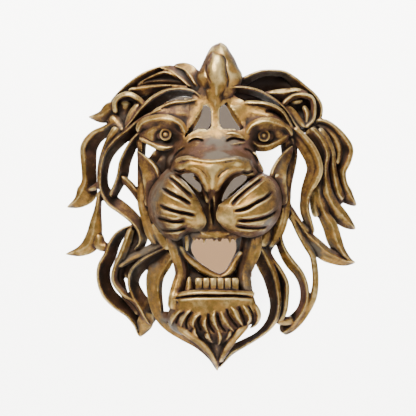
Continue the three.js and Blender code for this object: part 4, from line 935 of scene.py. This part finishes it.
def joined(shapes):
    """One mesh from many closed shapes, in metres, with every face turned outwards."""
    points = []
    faces = []
    start = 0
    for corners, polygons in shapes:
        points.append(corners)
        faces += [[start + i for i in polygon] for polygon in polygons]
        start += len(corners)
    mesh = bpy.data.meshes.new(MASK + "_skin")
    mesh.from_pydata(np.concatenate(points) * MM, [], faces)
    mesh.update()
    shell = bmesh.new()
    shell.from_mesh(mesh)
    bmesh.ops.recalc_face_normals(shell, faces=shell.faces)
    shell.to_mesh(mesh)
    shell.free()
    return mesh


def applied(piece):
    """The piece with its modifiers applied, as a fresh mesh."""
    graph = bpy.context.evaluated_depsgraph_get()
    mesh = bpy.data.meshes.new_from_object(piece.evaluated_get(graph))
    piece.modifiers.clear()
    old = piece.data
    piece.data = mesh
    bpy.data.meshes.remove(old)
    mesh.calc_loop_triangles()
    return mesh


def vertex_array(mesh, name="co"):
    """The vertices' places or normals, one row each."""
    values = np.empty(len(mesh.vertices) * 3, np.float32)
    mesh.vertices.foreach_get(name, values)
    return values.reshape(-1, 3).astype(float)


def distance_to_line(x, z, line):
    """How far each point lies from a line of straight stretches, and how far along it, 0 to 1."""
    best = np.full(len(x), np.inf)
    along = np.zeros(len(x))
    lengths = np.linalg.norm(np.diff(line, axis=0), axis=1)
    before = np.concatenate([[0], np.cumsum(lengths)])
    for i, length in enumerate(lengths):
        ax, az = line[i]
        bx, bz = line[i + 1]
        t = np.clip(((x - ax) * (bx - ax) + (z - az) * (bz - az)) / length**2, 0, 1)
        d = np.hypot(x - ax - t * (bx - ax), z - az - t * (bz - az))
        nearer = d < best
        best[nearer] = d[nearer]
        along[nearer] = (before[i] + t[nearer] * length) / before[-1]
    return best, along


def engrave(points, facing, line, deep, half_width, lip=0.0):
    """Pushes the front of the skin in along a line: a groove of bell section that fades at its ends,
    with a raised lip on either side."""
    x, z = points[:, 0] / MM, points[:, 2] / MM
    line = curve_through(line, GROOVE_STEP)
    reach = GROOVE_REACH * half_width
    near = (x > line[:, 0].min() - reach) & (x < line[:, 0].max() + reach)
    near &= (z > line[:, 1].min() - reach) & (z < line[:, 1].max() + reach) & (facing > FACES_FORWARDS)
    index = np.flatnonzero(near)
    d, along = distance_to_line(x[index], z[index], line)
    fade = np.clip(np.minimum(along, 1 - along) * GROOVE_FADES, 0, 1)
    groove = deep * np.exp(-(d / half_width) ** 2)
    groove -= lip * np.exp(-((d / half_width - LIP_AT) / LIP_WIDTH) ** 2)
    points[index, 1] += MM * fade * groove


def openness(points):
    """How much of the room in front each point sees, 0 to 1. The front's depth is kept on a grid of 1 mm
    cells. In each direction the steepest rise towards nearby cells hides the room below it, and a point
    that lies behind the front at its own cell sees none."""
    x, depth, z = points[:, 0] / MM, -points[:, 1] / MM, points[:, 2] / MM
    column = np.round(x - x.min()).astype(int) + GRID_MARGIN
    row = np.round(z - z.min()).astype(int) + GRID_MARGIN
    front = np.zeros((row.max() + GRID_MARGIN + 1, column.max() + GRID_MARGIN + 1))
    np.maximum.at(front, (row, column), depth)
    seen = np.zeros(len(points))
    for turn in range(OPEN_DIRECTIONS):
        angle = 2 * math.pi * (turn + 0.5) / OPEN_DIRECTIONS
        steepest = np.zeros(len(points))
        for reach in OPEN_DISTANCES:
            across = np.clip(column + round(reach * math.cos(angle)), 0, front.shape[1] - 1)
            up = np.clip(row + round(reach * math.sin(angle)), 0, front.shape[0] - 1)
            steepest = np.maximum(steepest, (front[up, across] - depth) / reach)
        seen += 1 - steepest / np.sqrt(1 + steepest**2)
    hidden = np.clip((front[row, column] - depth - HIDDEN_FROM) / HIDDEN_OVER, 0, 1)
    return seen / OPEN_DIRECTIONS * (1 - hidden)


def averaged(mesh, values, rounds):
    """Values on the vertices, each mixed with its neighbours' a number of times."""
    edges = np.empty(len(mesh.edges) * 2, np.int32)
    mesh.edges.foreach_get("vertices", edges)
    a, b = edges.reshape(-1, 2).T
    count = len(mesh.vertices)
    links = np.maximum(np.bincount(a, minlength=count) + np.bincount(b, minlength=count), 1)
    eased = np.array(values, float).reshape(count, -1)
    for _ in range(rounds):
        for axis in range(eased.shape[1]):
            total = np.bincount(a, eased[b, axis], count) + np.bincount(b, eased[a, axis], count)
            eased[:, axis] = (1 - MIXED_IN) * eased[:, axis] + MIXED_IN * total / links
    return eased


def proud_by(mesh, points, normals, rounds):
    """How far each point stands out of its neighbourhood along its normal, in millimetres: positive on
    edges and beads, negative in grooves."""
    return ((points - averaged(mesh, points, rounds)) * normals).sum(1) / MM


def fused_skin():
    """Every carved shape fused into one skin, engraved, cut flat on the wall and thinned."""
    skin = bpy.data.objects.new(MASK + "_skin", joined(carved_shapes()))
    bpy.context.scene.collection.objects.link(skin)
    fuse = skin.modifiers.new("fuse", "REMESH")
    fuse.mode = "VOXEL"
    fuse.voxel_size = SKIN_CELL * MM
    ease = skin.modifiers.new("ease", "SMOOTH")
    ease.factor = EASE_SHARE
    ease.iterations = EASE_ROUNDS
    mesh = applied(skin)
    points = vertex_array(mesh)
    facing = -vertex_array(mesh, "normal")[:, 1]
    for lines, groove in ((WHISKER_LINES, WHISKER_GROOVE), (CREST_LINES, CREST_GROOVE),
                          (CHIN_LINES, CHIN_GROOVE), (tooth_lines(INCISORS), TOOTH_GROOVE),
                          (FACE_LINES, FACE_GROOVE)):
        for line in lines:
            engrave(points, facing, line, **groove)
    points[:, 1] = np.minimum(points[:, 1], 0.0)
    mesh.vertices.foreach_set("co", points.astype(np.float32).ravel())
    mesh.update()
    thin = skin.modifiers.new("thin", "DECIMATE")
    thin.ratio = min(1.0, TRIANGLE_LIMIT / len(mesh.loop_triangles))
    mesh = applied(skin)
    mesh.polygons.foreach_set("use_smooth", np.ones(len(mesh.polygons), bool))
    return skin


def measure(mesh):
    """Stores on the skin how open each place is, how much it faces forwards, and how far it stands out
    of what is close to it and of the form around it. The finish paints shade from how open a place is
    and how much it faces forwards."""
    points = vertex_array(mesh)
    normals = vertex_array(mesh, "normal")
    values = (averaged(mesh, openness(points), OPEN_ROUNDS),
              averaged(mesh, -normals[:, 1], FACING_ROUNDS),
              proud_by(mesh, points, normals, EDGE_ROUNDS),
              np.clip(proud_by(mesh, points, normals, FORM_ROUNDS), *FORM_RANGE))
    for name, amount in zip(MEASURES, values):
        layer = mesh.attributes.new(name, "FLOAT", "POINT")
        layer.data.foreach_set("value", amount.astype(np.float32).ravel())


def linear(code):
    """A hex colour as sRGB, turned to linear light."""
    parts = [int(code[i:i + 2], 16) / 255 for i in (1, 3, 5)]
    return [p / 12.92 if p <= 0.04045 else ((p + 0.055) / 1.055) ** 2.4 for p in parts] + [1.0]


def add(tree, kind, settings=None, inputs=None):
    """Adds a node. Its settings are its own properties. Its inputs are sockets by name or number, each
    with a value, or with another node's output that is linked to it."""
    node = tree.nodes.new(kind)
    for name, value in (settings or {}).items():
        setattr(node, name, value)
    for socket, value in (inputs or {}).items():
        if isinstance(value, bpy.types.NodeSocket):
            tree.links.new(value, node.inputs[socket])
        else:
            node.inputs[socket].default_value = value
    return node


def emptied(owner):
    """The node tree of a new material or world, with nothing in it."""
    owner.use_nodes = True
    owner.node_tree.nodes.clear()
    return owner.node_tree


def antique_bronze():
    """Cast polyresin with an antique bronze coat. A dark umber wash stays in whatever the brush can't
    reach, which is also where shade falls, so it is partly painted shade, deepest in sunk creases.
    Brown bronze covers the flanks, and gold paste is rubbed over the forms that stand proud and face the
    front, which leaves painted shade on the flanks that face away, palest along their edges. The paste is
    satin and glints without mirroring."""
    material = bpy.data.materials.new("antique bronze rubbed with gold")
    tree = emptied(material)
    place = add(tree, "ShaderNodeTexCoord").outputs["Object"]
    values = {}
    for name in MEASURES:
        values[name] = add(tree, "ShaderNodeAttribute", {"attribute_name": name}).outputs["Fac"]
    for name, (width, layers, strength) in PATTERNS.items():
        values[name] = add(tree, "ShaderNodeTexNoise", inputs={
            "Vector": place, "Scale": 1 / (width * MM), "Detail": layers, "Roughness": strength,
        }).outputs["Fac"]

    def total(weights, start=0.0):
        """The start and the named values, each times its weight, added up."""
        result = start
        for name, weight in weights.items():
            result = add(tree, "ShaderNodeMath", {"operation": "MULTIPLY_ADD"},
                         {0: values[name], 1: weight, 2: result}).outputs[0]
        return result

    for name, weights in SUMS.items():
        values[name] = total(weights)
    for name, (follows, starts, full) in SHARES.items():
        values[name] = add(tree, "ShaderNodeMapRange", {"interpolation_type": "SMOOTHSTEP"}, {
            "Value": values[follows], "From Min": starts, "From Max": full,
        }).outputs["Result"]
    laid = {"coat": linear(BROWN), "paste": linear(OLIVE_GOLD)}
    for under, colour, share in COATS:
        over = laid[colour] if colour in laid else linear(colour)
        laid[under] = add(tree, "ShaderNodeMix", {"data_type": "RGBA"}, {
            MIX_SHARE: values[share], MIX_UNDER: laid[under], MIX_OVER: over,
        }).outputs[MIX_RESULT]
    bump = add(tree, "ShaderNodeBump", inputs={
        "Strength": RELIEF_STRENGTH, "Distance": RELIEF_DEPTH * MM, "Height": values["relief"],
    })
    shader = add(tree, "ShaderNodeBsdfPrincipled", inputs={
        "Base Color": laid["coat"],
        "Metallic": total(METALLIC),
        "Roughness": total(SMOOTHED_BY, PLAIN_ROUGHNESS),
        "IOR": RESIN_IOR,
        "Specular IOR Level": RESIN_GLINT,
        "Normal": bump.outputs["Normal"],
    })
    add(tree, "ShaderNodeOutputMaterial", inputs={"Surface": shader.outputs["BSDF"]})
    return material


def plain_paper(name, code):
    """Matt studio paper: an even sheet with no gloss."""
    material = bpy.data.materials.new(name)
    tree = emptied(material)
    shader = add(tree, "ShaderNodeBsdfPrincipled", inputs={
        "Base Color": linear(code), "Roughness": PAPER_ROUGHNESS,
    })
    add(tree, "ShaderNodeOutputMaterial", inputs={"Surface": shader.outputs["BSDF"]})
    return material


def card_corners(places):
    """Places of the drawing, carried back from the camera onto the plane of the cards."""
    spread = (CAMERA_DISTANCE + CARDS_AT) / CAMERA_DISTANCE
    middle_x, middle_z = PICTURE_MIDDLE
    return [(middle_x + (x * MM - middle_x) * spread, CARDS_AT, middle_z + (z * MM - middle_z) * spread)
            for x, z in places]


def studio_sheets():
    """A pale floor well below the mask, a pale backdrop well behind it and the cards of painted shade
    before that.
    """
    left, right = -ROOM_HALF_WIDTH, ROOM_HALF_WIDTH
    floor = [(left, ROOM_FRONT, FLOOR_AT), (right, ROOM_FRONT, FLOOR_AT),
             (right, BACKDROP_AT, FLOOR_AT), (left, BACKDROP_AT, FLOOR_AT)]
    backdrop = [(left, BACKDROP_AT, FLOOR_AT), (right, BACKDROP_AT, FLOOR_AT),
                (right, BACKDROP_AT, BACKDROP_TOP), (left, BACKDROP_AT, BACKDROP_TOP)]
    for name, colour, corners in (
        ("studio_shade_card_low", TAUPE, card_corners(LOW_CARD)),
        ("studio_shade_card_high", DARK_TAUPE, card_corners(HIGH_CARD)),
        ("studio_floor", PAPER, floor),
        ("studio_backdrop", PAPER, backdrop),
    ):
        mesh = bpy.data.meshes.new(name)
        mesh.from_pydata(corners, [], [tuple(range(len(corners)))])
        mesh.materials.append(plain_paper(name + " paper", colour))
        sheet = bpy.data.objects.new(name, mesh)
        bpy.context.scene.collection.objects.link(sheet)


def room_light():
    """The room's soft light from all round. The camera itself sees a paler tone where no sheet stands."""
    world = bpy.data.worlds.new("pale room")
    room = emptied(world)
    path = add(room, "ShaderNodeLightPath")
    lit_by = add(room, "ShaderNodeBackground", inputs={
        "Color": linear(ROOM_LIGHT), "Strength": ROOM_STRENGTH,
    })
    seen = add(room, "ShaderNodeBackground", inputs={"Color": linear(ROOM_SEEN)})
    choice = add(room, "ShaderNodeMixShader", inputs={
        0: path.outputs["Is Camera Ray"], 1: lit_by.outputs["Background"], 2: seen.outputs["Background"],
    })
    add(room, "ShaderNodeOutputWorld", inputs={"Surface": choice.outputs["Shader"]})
    bpy.context.scene.world = world


def pointed(way):
    """The turn that points a lamp's or camera's -Z along the given way."""
    return Vector(way).to_track_quat("-Z", "Y").to_euler()


def lamp(name, place, aim, size, power, colour):
    """A square lamp at its place, pointed at what it lights."""
    data = bpy.data.lights.new(name, "AREA")
    data.size = size
    data.energy = power
    data.color = linear(colour)[:3]
    light = bpy.data.objects.new(name, data)
    bpy.context.scene.collection.objects.link(light)
    light.location = place
    light.rotation_euler = pointed(np.array(aim) - np.array(place))


def camera():
    """A camera straight in front, with a lens that just takes in the picture's width at the mask."""
    data = bpy.data.cameras.new("camera")
    data.sensor_width = SENSOR
    data.lens = SENSOR * CAMERA_DISTANCE / PICTURE_WIDTH
    data.clip_end = CAMERA_REACH
    eye_piece = bpy.data.objects.new("camera", data)
    eye_piece.location = (PICTURE_MIDDLE[0], -CAMERA_DISTANCE, PICTURE_MIDDLE[1])
    eye_piece.rotation_euler = pointed((0, 1, 0))
    bpy.context.scene.collection.objects.link(eye_piece)
    bpy.context.scene.camera = eye_piece


camera()
studio_sheets()
room_light()
for lamp_row in LAMPS:
    lamp(**lamp_row)
skin = fused_skin()
measure(skin.data)
skin.data.materials.append(antique_bronze())
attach(skin, "root")
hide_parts(MASK)
